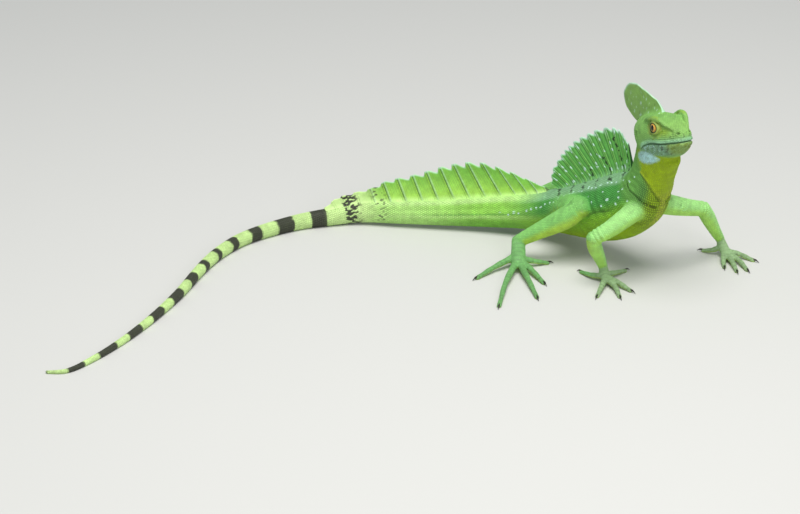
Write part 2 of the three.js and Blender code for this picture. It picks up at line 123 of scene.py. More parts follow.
# %% [markdown]
# ## Courses
# A lizard is a bundle of tubes: one from the nape to the tail's tip, two for each leg and one for each
# toe. Each is a course, a short table of middles and sizes with a smooth curve through it. Everything
# else is measured along these courses, so skin, scales and markings always agree.

# %% A smooth curve and its frames
UP = np.array([0.0, 0.0, 1.0])


def unit(v):
    return v / np.maximum(np.linalg.norm(v, axis=-1, keepdims=True), 1e-9)


def smooth(low, high, value):
    t = np.clip((value - low) / (high - low), 0, 1)
    return t * t * (3 - 2 * t)


def along(rows, u):
    rows = np.asarray(rows, float)
    last = len(rows) - 1
    u = np.atleast_1d(np.asarray(u, float))
    i = np.clip(np.floor(u).astype(int), 0, last - 1)
    f = (u - i)[:, None]
    b, c = rows[i], rows[i + 1]
    a = np.where((i > 0)[:, None], rows[np.maximum(i - 1, 0)], 2 * b - c)
    d = np.where((i + 2 <= last)[:, None], rows[np.minimum(i + 2, last)], 2 * c - b)
    return b + 0.5 * f * ((c - a) + f * ((2 * a - 5 * b + 4 * c - d) + f * (3 * b - a - 3 * c + d)))


def frames_at(rows, u, hint=UP):
    at = along(rows, u)
    run = unit(along(rows, u + 0.02)[:, :3] - along(rows, u - 0.02)[:, :3])
    up = hint(u) if callable(hint) else np.tile(hint, (len(at), 1))
    back = unit(up - run * (up * run).sum(1, keepdims=True))
    return {"centre": at[:, :3], "size": at[:, 3:], "run": run, "back": back, "side": np.cross(back, run)}


def stations(rows, spacing, hint=UP):
    last = len(rows) - 1
    fine = np.linspace(0, last, 60 * last + 1)
    path = along(rows, fine)[:, :3]
    length = np.r_[0, np.cumsum(np.linalg.norm(np.diff(path, axis=0), axis=1))]
    count = max(4, int(round(length[-1] / spacing)) + 1)
    s = np.linspace(0, length[-1], count)
    u = np.interp(s, length, fine)
    return {"s": s, "u": u, **frames_at(rows, u, hint)}


print("the curve meets its second row at", along([[0, 0, 0], [3, 4, 0], [6, 0, 0]], 1)[0].tolist())

# %% Rings and closed forms
def ring_points(st, half, top, bottom, phi, power=2.0):
    # phi is 0 on the back and grows towards the left side, so that pi is the belly.
    c, s = np.cos(phi), np.sin(phi)
    across = np.sign(s) * np.abs(s) ** (2 / power) * half[:, None]
    up = np.sign(c) * np.abs(c) ** (2 / power) * np.where(c > 0, top[:, None], bottom[:, None])
    middle = st["centre"][:, None] + across[..., None] * st["side"][:, None]
    return middle + up[..., None] * st["back"][:, None]


def closed_form(rings):
    # Triangles over rings of equal count, with a fan at each end.
    count, around = rings.shape[:2]
    places = np.vstack([rings.reshape(-1, 3), rings[0].mean(0), rings[-1].mean(0)])
    k = np.arange(around)
    a = (np.arange(count - 1)[:, None] * around + k).ravel()
    b = (np.arange(count - 1)[:, None] * around + (k + 1) % around).ravel()
    wall = np.vstack([np.c_[a, b, a + around], np.c_[b, b + around, a + around]])
    first = np.c_[(k + 1) % around, k, np.full(around, count * around)]
    end = (count - 1) * around
    last = np.c_[end + k, end + (k + 1) % around, np.full(around, count * around + 1)]
    return places, np.vstack([wall, first, last])


def tube_form(rows, around=24, flat=1.0, spacing=1.0, knuckles=0.0):
    st = stations(rows, spacing)
    radius = st["size"][:, 0] * (1 + knuckles * np.cos(6 * np.pi * np.linspace(0, 1, len(st["s"]))))
    shares = np.array([0.12, 0.35, 0.55, 0.72, 0.86, 0.95])
    picks, offset, scale = [], [], []
    for end, way in ((0, -1), (len(radius) - 1, 1)):
        order = shares if way < 0 else shares[::-1]
        picks.append(np.full(len(shares), end))
        offset.append(way * radius[end] * np.cos(order * np.pi / 2))
        scale.append(np.sin(order * np.pi / 2))
    index = np.r_[picks[0], np.arange(len(radius)), picks[1]]
    slide = np.r_[offset[0], np.zeros(len(radius)), offset[1]]
    r = radius[index] * np.r_[scale[0], np.ones(len(radius)), scale[1]]
    grown = {key: st[key][index] for key in ("centre", "side", "back", "run")}
    grown["centre"] = grown["centre"] + slide[:, None] * grown["run"]
    phi = np.linspace(0, 2 * np.pi, around, endpoint=False)
    return closed_form(ring_points(grown, r, r * flat, r * flat, phi))


def merged(forms):
    starts = np.cumsum([0] + [len(p) for p, _ in forms[:-1]])
    return np.vstack([p for p, _ in forms]), np.vstack([t + start for (_, t), start in zip(forms, starts)])


# %% From millimetres to a Blender piece
def mesh_of(name, places, faces, to_metres=True):
    mesh = bpy.data.meshes.new(name)
    faces = np.asarray(faces, np.int32)
    where = (places - DRAWN_MIDDLE) / 1000 if to_metres else places
    mesh.vertices.add(len(places))
    mesh.vertices.foreach_set("co", where.astype(np.float32).ravel())
    mesh.loops.add(faces.size)
    mesh.loops.foreach_set("vertex_index", faces.ravel())
    mesh.polygons.add(len(faces))
    mesh.polygons.foreach_set("loop_start", np.arange(0, faces.size, faces.shape[1], dtype=np.int32))
    mesh.update(calc_edges=True)
    mesh.polygons.foreach_set("use_smooth", np.ones(len(faces), bool))
    return mesh


def show(name, mesh, material, slot, *nodes):
    piece = bpy.data.objects.new(name, mesh)
    bpy.context.collection.objects.link(piece)
    mesh.materials.append(material)
    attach(piece, "root")
    if nodes:
        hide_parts(*nodes)
    print(name, "vertices", len(mesh.vertices), "faces", len(mesh.polygons))
    return piece


# %% The body's course, from the nape to the tail's tip
# Each row: x, y, z of the middle, half width, height of the back, depth of the belly.
BODY_ROWS = [
    [70, -75, 117, 8.5, 8, 13], [65.5, -69, 104, 11.2, 10.5, 25], [64, -66, 88, 12, 12, 22],
    [62.5, -64, 74, 13.4, 14.5, 18.5], [57.5, -58, 60, 16.6, 18, 22], [47, -46, 50, 19.5, 20, 26],
    [33, -31, 40, 19.5, 19, 25.5], [17, -14.5, 31, 16, 16.5, 21], [0, 0, 23.5, 13.8, 14, 16],
    [-21, 10, 18.5, 10.8, 12, 13.5], [-50, 17, 15, 8.8, 10.5, 11.8], [-80, 21, 12.5, 7.5, 9.4, 10],
    [-110, 25, 10.8, 6.6, 8.6, 8.8], [-138, 29, 9, 5.9, 7.5, 7.8], [-160, 25.5, 6.7, 5.3, 6.3, 6.5],
    [-182, 19, 5.5, 5, 5.4, 5.65], [-204, 5.5, 5, 4.7, 4.8, 5.15], [-222, -10.5, 4.7, 4.4, 4.5, 4.85],
    [-235, -29.5, 4.4, 4.1, 4.2, 4.55], [-244, -48.5, 4.1, 3.9, 4, 4.25], [-252, -71, 3.8, 3.6, 3.7, 3.95],
    [-260, -97, 3.5, 3.3, 3.4, 3.65], [-270, -123, 3.1, 2.9, 3, 3.25], [-282, -150, 2.7, 2.6, 2.7, 2.85],
    [-296, -176.5, 2.3, 2.2, 2.3, 2.45], [-312, -201, 1.9, 1.9, 1.9, 2.05],
    [-327, -217.5, 1.5, 1.5, 1.5, 1.65], [-341, -219, 1.05, 1, 1, 1.2],
]
BODY_POWER = 2.15
NAPE_BACK = unit(np.array([-0.45, 0.62, 0.64]))
HIP_ROW = 8


def body_hint(u):
    t = smooth(1, 6, u)[:, None]
    return unit(NAPE_BACK * (1 - t) + UP * t)


body = stations(BODY_ROWS, 1.0, body_hint)
body["s"] = body["s"] - np.interp(HIP_ROW, body["u"], body["s"])  # distances count from the hips
print("nape at", round(body["s"][0]), "mm, tail tip at", round(body["s"][-1]), "mm from the hips")

# %% The legs' courses
# Each row: x, y, z and radius. A toe's rows have no radius: it comes from TOE_THICK.
LEGS = {
    "front_right": {
        "upper": [[57, -68, 56, 7.6], [49, -75, 51.5, 6.8], [36, -79.5, 43, 5.8], [24, -81, 36, 4.9]],
        "lower": [[24, -81, 36, 4.8], [25.5, -77.5, 28, 5.1], [29.5, -72, 17, 4], [32, -68, 9.5, 3.2]],
        "palm": [[32, -68, 9.5, 3.1], [33, -72, 6, 3.5], [34, -77, 3.6, 3.3]],
        "toes": [
            [[34, -71, 4.6], [41, -65, 3], [48.5, -57, 1.05]],
            [[36, -76, 3.6], [43.5, -84, 3.1], [50, -91, 1.05]],
            [[35, -78, 3.6], [39.5, -89, 3.2], [42, -101, 1.05]],
            [[33, -78, 3.6], [30, -89, 3.2], [26.5, -100, 1.05]],
            [[31.5, -73, 4.2], [24.5, -69, 3], [17.5, -59.5, 1.05]],
        ],
    },
    "front_left": {
        "upper": [[70, -57, 53, 7.8], [82, -53.5, 49, 6.8], [93, -46.5, 44.5, 5.8], [103, -40, 41, 5]],
        "lower": [[103, -40, 41, 4.9], [107, -36.5, 33, 5.2], [113, -29.5, 20, 4.1], [117.5, -24, 11, 3.2]],
        "palm": [[117.5, -24, 11, 3.1], [119.5, -28, 6.4, 3.7], [121.5, -34, 3.6, 3.4]],
        "toes": [
            [[118, -27, 6], [112.5, -26.5, 3.4], [106, -22.5, 1.05]],
            [[120, -33, 3.8], [118.5, -42.5, 3.2], [118.5, -51, 1.05]],
            [[121.5, -35, 3.6], [124.5, -46.5, 3.2], [126.5, -58, 1.05]],
            [[123, -34, 3.6], [129.5, -44.5, 3.2], [134, -56, 1.05]],
            [[122.5, -30.5, 4], [131, -33.5, 3.1], [140, -39.5, 1.05]],
        ],
    },
    "hind_right": {
        "upper": [[4, -6, 25, 9.6], [9, -20, 33, 9.8], [13.5, -34, 40, 8.8], [17, -45, 44, 7]],
        "lower": [[17, -45, 44, 6.8], [6, -43.5, 35, 7.7], [-11, -39.5, 24, 5.9], [-26, -36, 14.5, 4.3]],
        "palm": [[-26, -36, 14.5, 4.6], [-26, -43, 10.2, 5], [-26.5, -51, 6, 5.3]],
        "toes": [
            [[-23.5, -48, 6], [-15, -47.5, 4], [-5.5, -44, 1.1]],
            [[-24, -51, 5.6], [-16.5, -64, 3.8], [-9.5, -78, 1.1]],
            [[-25.5, -53, 5.2], [-20.5, -76, 3.8], [-15, -102, 1.1]],
            [[-28, -53, 5.2], [-36, -83, 3.8], [-41.5, -116, 1.1]],
            [[-30, -47, 6.4], [-43, -57, 3.8], [-55.5, -69.5, 1.1]],
        ],
    },
    "hind_left": {
        "upper": [[2, 4, 24, 9.6], [10, 13.5, 28.5, 9.4], [18, 21, 32.5, 8.4], [25, 26, 35.5, 6.8]],
        "lower": [[25, 26, 35.5, 6.6], [15, 33, 29, 7.5], [0, 42, 20, 5.8], [-11, 48, 13.5, 4.3]],
        "palm": [[-11, 48, 13.5, 4.6], [-6, 53.5, 9.8, 5], [0.5, 60, 6, 5.3]],
        "toes": [
            [[2, 57, 6], [10, 55.5, 3.9], [18.5, 52, 1.1]],
            [[3.5, 60, 5.4], [15, 65, 3.8], [26.5, 69, 1.1]],
            [[4, 62, 5.2], [20.5, 75.5, 3.8], [36, 89, 1.1]],
            [[2, 63.5, 5.2], [13.5, 88, 3.8], [24.5, 115, 1.1]],
            [[-3.5, 57, 6.4], [-9, 72.5, 3.8], [-15.5, 88, 1.1]],
        ],
    },
}
TOE_THICK = {"front": [2.4, 1.8, 1.4], "hind": [2.7, 1.9, 1.5]}
tubes = []  # one entry for each tube of a limb: what it is, its rows and its flatness
for leg, parts in LEGS.items():
    kind = leg.split("_")[0]
    tubes.append({"family": "limb", "leg": leg, "rows": parts["upper"], "flat": 1, "start": 0})
    tubes.append({"family": "limb", "leg": leg, "rows": parts["lower"], "flat": 1, "start": 40})
    tubes.append({"family": "foot", "leg": leg, "rows": parts["palm"], "flat": 0.8, "start": 0})
    for toe in parts["toes"]:
        rows = [[*place, thick] for place, thick in zip(toe, TOE_THICK[kind])]
        tubes.append({"family": "foot", "leg": leg, "rows": rows, "flat": 0.92, "start": 12, "toe": True})
print("limb tubes:", len(tubes))

# %% The head's frame and sizes
HEAD_PLACE = np.array([61.6, -62.3, 108.6])
TURN, LIFT = math.radians(27), math.radians(15)
SNOUT = np.array([math.sin(TURN) * math.cos(LIFT), -math.cos(TURN) * math.cos(LIFT), math.sin(LIFT)])
LEFT = np.array([math.cos(TURN), math.sin(TURN), 0])
CROWN = np.cross(SNOUT, LEFT)
HEAD_AXES = np.array([SNOUT, LEFT, CROWN])
# Each row: x along the head, half width, crown, jaw depth, boxiness, droop of the snout.
HEAD_ROWS = [
    [-5, 9.2, 9, 13.5, 2.1, 0], [0, 11.6, 11.6, 16.5, 2.1, 0], [6, 13.6, 13, 17.5, 2.2, 0],
    [12, 14.5, 13.6, 18, 2.3, 0], [18, 14.1, 13.8, 18, 2.4, 0], [24, 13.2, 13.4, 17.5, 2.5, 0],
    [30, 12, 12, 16.3, 2.5, -0.1], [36, 10, 9.9, 14.2, 2.5, -0.4], [41.5, 8.1, 8.2, 11.2, 2.5, -0.9],
    [45.5, 6.4, 6.7, 8.2, 2.4, -1.5], [48, 4.4, 4.6, 5.4, 2.3, -2], [49, 1.7, 1.7, 2.4, 2.1, -2.3],
]
MOUTH_ROWS = [[11, -9.4], [15, -6.8], [22, -5.1], [33, -5], [43, -4.1], [52, -3.2]]
EYE_AT = np.array([28, 9.4, 6.2])
EYE_RADIUS = 4.6
HEAD_REACH = 60  # no part of the head lies further from its origin


def from_head(local):
    return HEAD_PLACE + local @ HEAD_AXES


def to_head(places):
    return (places - HEAD_PLACE) @ HEAD_AXES.T


def mouth_line(x):
    # Height of the line between the lips.
    return np.interp(x, *np.array(MOUTH_ROWS).T)


def near_mouth(local, half):
    # Where a scale would bridge the slit of the mouth.
    at_line = np.abs(local[:, 2] - mouth_line(local[:, 0])) < half
    return at_line & (local[:, 0] > MOUTH_ROWS[0][0]) & (np.linalg.norm(local, axis=1) < HEAD_REACH)


def head_stations(count):
    u = np.linspace(0, len(HEAD_ROWS) - 1, count)
    rows = along(HEAD_ROWS, u)
    centre = np.c_[rows[:, 0], np.zeros(count), rows[:, 5]]
    flat = {"centre": centre, "side": np.tile([0, 1, 0], (count, 1)), "back": np.tile([0, 0, 1], (count, 1))}
    return flat, rows


def head_rings(count, phi):
    flat, rows = head_stations(count)
    return ring_points(flat, rows[:, 1], rows[:, 2], rows[:, 3], phi, rows[:, 4:5])


drawn_eye = from_head(EYE_AT * [1, -1, 1]) - DRAWN_MIDDLE
packed_eye = (np.array(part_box("eye_right")[0]) + np.array(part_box("eye_right")[1])) * 500
print("right eye, drawn against packed, apart by", round(float(np.linalg.norm(drawn_eye - packed_eye)), 2),
    "mm")

# %% [markdown]
# ## One skin
# On the animal no seam parts head, trunk and legs. The overlapping tubes are joined by a voxel remesh,
# which turns them into one even net of small squares. A remesh leaves sharp valleys where tubes meet, so
# the valleys alone are then filled: each point may move outwards but never inwards, and slim toes keep
# their thickness.

# %% Join the tubes
VOXEL = 0.5


def skin_forms():
    phi = np.linspace(0, 2 * np.pi, 72, endpoint=False)
    st = stations(BODY_ROWS, 1.0, body_hint)
    keep = st["u"] > 0.2
    st = {key: value[keep] for key, value in st.items()}
    half, top, bottom = st["size"].T
    forms = [closed_form(ring_points(st, half, top, bottom, phi, BODY_POWER))]
    places, faces = closed_form(head_rings(90, phi))
    forms.append((from_head(places), faces))
    for s in (1, -1):
        brow = [[43, s * 5.6, 4.6, 1], [37, s * 8.4, 8.4, 1.5], [31, s * 10.8, 12, 1.9],
            [24, s * 11.8, 12.8, 1.8], [17, s * 11.8, 10.8, 1.2]]
        lid = [[EYE_AT[0] - 0.5, s * EYE_AT[1], EYE_AT[2], 5.5],
            [EYE_AT[0] + 0.5, s * EYE_AT[1], EYE_AT[2], 5.5]]
        for rows in (brow, lid):
            places, faces = tube_form(rows, 32, spacing=0.5)
            forms.append((from_head(places), faces))
    for tube in tubes:
        forms.append(tube_form(tube["rows"], 28, tube["flat"], 0.8, 0.06 if "toe" in tube else 0))
    return forms


def remeshed(places, faces, voxel):
    draft = bpy.data.objects.new("draft", mesh_of("draft", places, faces, to_metres=False))
    bpy.context.collection.objects.link(draft)
    remesh = draft.modifiers.new("join", "REMESH")
    remesh.mode = "VOXEL"
    remesh.voxel_size = voxel
    ready = draft.evaluated_get(bpy.context.evaluated_depsgraph_get())
    net = bpy.data.meshes.new_from_object(ready)
    bpy.data.objects.remove(draft)
    return net


net = remeshed(*merged(skin_forms()), VOXEL)
print("net of the skin:", len(net.vertices), "points")


# %% Fill the valleys
def read(items, key, width, kind=np.float32):
    values = np.empty(len(items) * width, kind)
    items.foreach_get(key, values)
    return values.reshape(-1, width)


def points_of(mesh):
    return read(mesh.vertices, "co", 3).astype(float)


def normals_of(mesh):
    return read(mesh.vertex_normals, "vector", 3).astype(float)


def edges_of(mesh):
    return read(mesh.edges, "vertices", 2, np.int32)


def set_points(mesh, places):
    mesh.vertices.foreach_set("co", places.astype(np.float32).ravel())
    mesh.update()


def neighbour_mean(values, edges, count):
    total = np.empty_like(values)
    valence = np.bincount(edges.ravel(), minlength=count)
    for axis in range(values.shape[1]):
        total[:, axis] = np.bincount(edges[:, 0], values[edges[:, 1], axis], count)
        total[:, axis] += np.bincount(edges[:, 1], values[edges[:, 0], axis], count)
    return total / np.maximum(valence, 1)[:, None]


def relax(mesh, turns, weight=0.5):
    places, edges = points_of(mesh), edges_of(mesh)
    for _ in range(turns):
        places += weight * (neighbour_mean(places, edges, len(places)) - places)
    set_points(mesh, places)


def fill_valleys(mesh, turns):
    places, edges = points_of(mesh), edges_of(mesh)
    for turn in range(turns):
        if turn % 8 == 0:
            set_points(mesh, places)
            normals = normals_of(mesh)
        pull = ((neighbour_mean(places, edges, len(places)) - places) * normals).sum(1)
        places += (0.8 * np.maximum(pull - 0.008, 0))[:, None] * normals
    set_points(mesh, places)


def soften(mesh, centre, reach, turns):
    distance = np.linalg.norm(points_of(mesh) - centre, axis=1)
    relax(mesh, turns, 0.6 * smooth(reach, 0.5 * reach, distance)[:, None])


relax(net, 3)
fill_valleys(net, 48)
relax(net, 1)
top_ring = frames_at(BODY_ROWS, np.array([0.3]), body_hint)
chin = (top_ring["centre"] - top_ring["back"] * top_ring["size"][:, 2:3])[0]
soften(net, chin, 13, 90)
print("valleys filled; the corner under the chin was at", chin.round(1).tolist())

# %% [markdown]
# ## Finer net on the head
# The head carries the smallest forms, such as lids and nostrils, so its squares are split in four, and
# those round the eyes once more. Doing this after the remesh keeps the rest of the skin light.


# %% Split the squares near a point
def split_near(mesh, centre, reach):
    bm = bmesh.new()
    bm.from_mesh(mesh)
    wanted = np.linalg.norm(points_of(mesh) - centre, axis=1) < reach
    edges = [e for e in bm.edges if wanted[e.verts[0].index] and wanted[e.verts[1].index]]
    bmesh.ops.subdivide_edges(bm, edges=edges, cuts=1, use_grid_fill=True)
    bmesh.ops.triangulate(bm, faces=[f for f in bm.faces if len(f.verts) > 4])
    bm.to_mesh(mesh)
    bm.free()


split_near(net, from_head(np.array([22, 0, 0])), 33)
for s in (1, -1):
    split_near(net, from_head(EYE_AT * [1, s, 1]), 9)
relax(net, 1, 0.3)
print("net with a finer head:", len(net.vertices), "points")

# %% [markdown]
# ## Where am I on the animal?
# Markings and folds are easiest to describe on the animal itself: so far from the hips, so far round from
# the back. This step finds those numbers for any point, with the nearest place on each family of tubes.


# %% Locate points
def sample_tubes():
    rows = []
    half, top, bottom = body["size"].T
    pick = slice(None, None, 2)
    keys = ("centre", "run", "side", "back")
    rows.append({"family": 0, "s": body["s"][pick], "radius": ((half + 0.5 * top + 0.5 * bottom) / 2)[pick],
        **{k: body[k][pick] for k in keys}})
    for tube in tubes:
        st = stations(tube["rows"], 2.0)
        share = np.full(len(st["s"]), 1 if tube["family"] == "limb" else 2)
        rows.append({"family": share, "s": st["s"] + tube["start"], "radius": st["size"][:, 0],
            **{k: st[k] for k in keys}})
    table = {key: np.concatenate([row[key] for row in rows]) for key in ("s", "radius") + keys}
    table["family"] = np.concatenate([np.broadcast_to(row["family"], len(row["s"])) for row in rows])
    return table


SAMPLES = sample_tubes()


def locate(places):
    # For body, limb and foot: how far out the point lies in radii, its distance along and its angle.
    found = []
    for family in range(3):
        pick = SAMPLES["family"] == family
        spot = {key: value[pick] for key, value in SAMPLES.items()}
        nearest = np.empty(len(places), int)
        ratio = np.empty(len(places))
        for start in range(0, len(places), 20000):
            part = places[start:start + 20000]
            square = (part ** 2).sum(1)[:, None] + (spot["centre"] ** 2).sum(1) - 2 * part @ spot["centre"].T
            share = np.sqrt(np.maximum(square, 0)) / spot["radius"]
            nearest[start:start + 20000] = share.argmin(1)
            ratio[start:start + 20000] = share.min(1)
        offset = places - spot["centre"][nearest]
        dot = lambda key: (offset * spot[key][nearest]).sum(1)
        found.append({
            "run": spot["run"][nearest],
            "row": np.flatnonzero(pick)[nearest] / len(pick),
            "ratio": ratio,
            "s": spot["s"][nearest] + dot("run"),
            "phi": np.arctan2(dot("side"), dot("back")),
            "radius": spot["radius"][nearest],
        })
    return found


def head_share(places):
    # 1 on the head, 0 on the neck, with a soft change at the jaw's back.
    local = to_head(places)
    return smooth(-7, 1, local[:, 0] + 0.25 * local[:, 2]) * smooth(62, 50, np.linalg.norm(local, axis=1))


start_points = points_of(net)
here = locate(start_points)
print("located", len(start_points), "points")

# %% [markdown]
# ## Folds and the face
# A museum model is carved after its mass is right. Each fold is a small push along the skin's own normal,
# written as a bell curve across a line: grooves go in, lips and rims come out. The eye's opening is cut
# by pushing the lid's skin behind the eyeball, inside an almond outline.


# %% Carve the head
def bell(distance, width):
    return np.exp(-(distance / width) ** 2)


def lid_measure(local, s):
    # Below 1 inside the almond opening of the lids.
    offset = local - EYE_AT * [1, s, 1]
    x, z = offset[:, 0] / 4.3, (offset[:, 2] - 0.1) / 3.45
    lens = np.sqrt(np.abs(x) ** 2.2 + np.abs(z) ** 1.9)
    outward = offset[:, 1] * s > 0
    return np.where(outward & (np.linalg.norm(offset, axis=1) < 8.5), lens, 9), offset


NOSTRIL = np.array([46.4, 4.2, 2.2])
BROW = np.array([[19, 12.6, 10.4], [25, 13, 10.8], [31, 12, 9.6], [36.5, 9.8, 6.6], [42.5, 7, 4]])


def path_distance(spot, path):
    nearest = np.full(len(spot), 99.0)
    for a, b in zip(path[:-1], path[1:]):
        share = np.clip(((spot - a) @ (b - a)) / ((b - a) @ (b - a)), 0, 1)
        nearest = np.minimum(nearest, np.linalg.norm(spot - a - share[:, None] * (b - a), axis=1))
    return nearest


def brow_distance(local, s):
    # How far a place lies from the line under the brow.
    return path_distance(local, BROW * [1, s, 1])


def carve_head(places, normals):
    local = to_head(places)
    share = smooth(-2, 6, local[:, 0])
    x, y, z = local.T
    mouth = np.interp(x, *np.array([along(MOUTH_ROWS, u)[0] for u in np.linspace(0, 5, 40)]).T)
    lip = smooth(10, 16, x) * (np.linalg.norm(local, axis=1) < HEAD_REACH)
    dz = z - mouth
    push = lip * (-1.15 * bell(dz, 0.42) + 0.42 * bell(dz - 1.5, 1.0) + 0.38 * bell(dz + 1.7, 1.1))
    push -= 0.25 * lip * (bell(dz - 3.1, 0.35) + bell(dz + 3.4, 0.4))
    for s in (1, -1):
        side = y * s > 0
        nostril = np.linalg.norm(local - NOSTRIL * [1, s, 1], axis=1)
        push += side * (-1.1 * bell(nostril, 0.85) + 0.3 * bell(nostril - 1.6, 0.5))
        ear = np.hypot(x - 6.5, z - 0.4)
        push += side * (-0.75 * (1 - smooth(2.2, 3.1, ear)) + 0.35 * bell(ear - 3.4, 0.55))
        push += side * 0.9 * bell(np.hypot(x - 11, z + 7), 6) + side * 0.5 * bell(np.hypot(x - 16, z - 5), 5)
        push -= side * 0.45 * bell(np.hypot((x - 38) / 1.6, z - 3.2), 2.6)
        push -= side * 0.5 * bell(brow_distance(local, s), 0.9)
        push += side * 2.0 * bell(np.hypot(x - 10, z + 16), 5.5)
    push += 0.35 * share * bell(z + 15, 3) * np.sin(x * 1.1) * smooth(30, 20, x)
    places = places + (share * push)[:, None] * normals
    local = to_head(places)
    for s in (1, -1):
        lens, offset = lid_measure(local, s)
        distance = np.linalg.norm(offset, axis=1)
        near = lens < 8
        rim = 5.3 + 0.32 * bell(lens - 1.2, 0.14) - 0.3 * bell(lens - 1.52, 0.1)
        rim = rim + 0.14 * bell(lens - 1.8, 0.14) - 0.2 * bell(lens - 2.12, 0.1)
        goal = np.where(lens < 1.12, 3.9 + (rim - 3.9) * smooth(0.9, 1.1, lens), rim)
        keep = smooth(2.5, 2.0, lens) * near * smooth(5.0, 3.9, offset[:, 2])
        goal = distance + (goal - distance) * keep
        goal = np.where(lens >= 1.12, np.where(distance > goal, distance + (goal - distance) * keep, goal),
            goal)
        local = np.where(near[:, None], EYE_AT * [1, s, 1]
            + offset * (goal / np.maximum(distance, 0.1))[:, None], local)
    return from_head(local)


# %% Carve the neck, flanks and joints
def wave(places, size, seed):
    # Soft, irregular ups and downs: a few slow sine waves in random directions.
    draw = np.random.default_rng(seed)
    total = np.zeros(len(places))
    for _ in range(6):
        way = unit(draw.normal(size=3)) * draw.uniform(0.6, 1.5)
        total += np.sin(places @ way * 2 * np.pi / size + draw.uniform(0, 6.28))
    return total / 6


# Two folds of loose skin on the throat and on the neck, by places on them in the drawn frame.
THROAT_POINTS = [[55.8, -75.3, 83.4], [59.1, -78.7, 79.6], [63.3, -80.9, 74.6], [66.9, -80.5, 69.2],
    [69.9, -78.5, 64.7]]
NECK_POINTS = [[46, -66, 72], [48.4, -70, 67.8], [52.3, -74.4, 65.2], [57, -77.3, 61.9],
    [61.2, -78.3, 59.3], [66, -78, 58.5]]
FOLD_RADIUS = 14


def fold_path(points):
    spots = locate(np.array(points, float))[0]
    return np.c_[spots["s"], np.abs(spots["phi"]) * FOLD_RADIUS]


THROAT_FOLD, NECK_FOLD = fold_path(THROAT_POINTS), fold_path(NECK_POINTS)
print("throat fold, along and round in mm:", THROAT_FOLD.round(1).tolist())


def fold_distance(s, turn, path):
    # How far a place lies from a fold, on the body's unrolled skin.
    return path_distance(np.c_[s, turn * FOLD_RADIUS], path)


def before_fold(s, turn):
    # Millimetres round the neck from the throat fold towards the throat's middle.
    return turn * FOLD_RADIUS - np.interp(s, *THROAT_FOLD.T)


def carve_body(places, normals):
    on_body, on_limb, _ = here
    s, phi = on_body["s"], np.abs(on_body["phi"])
    far = 0.65 * smooth(-90, -100, s)  # the neck is much deeper than it is wide
    only = smooth(1.35 + far, 1.1 + far, on_body["ratio"]) * (1 - head_share(places))
    wobble = wave(places, 26, 3)
    neck = smooth(-122, -112, s) * smooth(-84, -94, s)
    rings = np.sin(2 * np.pi * (s + 3 * wobble) / 5.5)
    push = neck * 0.22 * rings * smooth(0.7, 1.3, phi) * smooth(2.2, 1.6, phi)
    behind = bell(fold_distance(s - 2.1, phi, THROAT_FOLD), 1.0)
    push += 0.9 * bell(fold_distance(s, phi, THROAT_FOLD), 1.1) - 0.9 * behind
    crease = bell(fold_distance(s, phi, NECK_FOLD), 0.8)
    push += 0.6 * bell(fold_distance(s + 2, phi, NECK_FOLD), 1.5) - 1.0 * crease
    trunk = smooth(-82, -70, s) * smooth(-6, -16, s)
    push += trunk * 0.32 * np.sin(2 * np.pi * (s + 5 * phi + 2 * wobble) / 7) * bell(phi - 1.45, 0.5)
    swell = bell(phi - 1.95 - 0.12 * wobble, 0.12)
    push += trunk * 0.55 * swell - trunk * 0.5 * bell(phi - 1.7 - 0.12 * wobble, 0.1)
    push += trunk * 0.25 * wave(places, 9, 5) * smooth(1.6, 2.4, phi)
    tail = smooth(5, 30, s)
    ridges = bell(phi - 0.35, 0.25) - 0.6 * bell(phi - 1.05, 0.22)
    push += tail * 0.12 * on_body["radius"] * ridges * smooth(160, 90, s)
    bent = smooth(1.3, 1.05, on_limb["ratio"]) * 0.3
    push_limb = bent * np.sin(2 * np.pi * on_limb["s"] / 3.4 + 2 * wobble) * bell(on_limb["s"] - 38, 5)
    return places + (only * push + push_limb + 0.06 * wave(places, 5, 9))[:, None] * normals


normals = normals_of(net)
carved = carve_body(start_points, normals)
carved = carve_head(carved, normals)
carved[:, 2] = np.maximum(carved[:, 2], 0.03)
set_points(net, carved)
print("carved; lowest point", round(float(carved[:, 2].min()), 3), "mm")

# %% [markdown]
# ## Markings
# The colour isn't painted on by hand: each patch is a rule in the animal's own numbers, such as "grey-green
# within 25 degrees of the back" or "dark rings from 140 mm behind the hips". The same rule then colours
# the skin and every scale, so they always match.

# %% Colours in daylight
TINTS = {
    "back": (132, 182, 134), "flank": (74, 154, 68), "low_flank": (146, 202, 44), "belly": (154, 190, 18),
    "throat": (154, 182, 4), "throat_edge": (204, 224, 60), "neck": (104, 164, 74), "tail": (150, 212, 86),
    "tail_top": (198, 238, 150), "tail_low": (122, 188, 64), "ring_dark_and_brow_shade": (62, 66, 52),
    "ring_pale": (200, 232, 152),
    "limb_top": (140, 208, 112), "limb_low": (190, 228, 84), "arm": (172, 234, 140), "foot": (122, 182, 108),
    "arm_low": (172, 226, 104), "hand": (152, 184, 134), "spot": (206, 240, 230), "marks_and_shade": (16, 26, 18),
    "face": (126, 180, 90),
    "snout": (140, 190, 96), "lip": (144, 196, 162), "lower_lip": (116, 156, 122), "jaw": (178, 222, 220),
    "lid": (178, 192, 88), "casque": (124, 168, 82), "rim": (190, 228, 206), "sail": (98, 176, 78),
    "sail_light": (140, 208, 104), "sail_groove_shade_and_line": (20, 70, 26), "tail_sail": (172, 224, 92),
    "sail_front": (126, 190, 68),
    "iris": (218, 156, 54), "iris_light": (248, 212, 120), "iris_dark": (124, 70, 24),
    "claw": (36, 32, 30), "claw_root": (104, 110, 84),
}


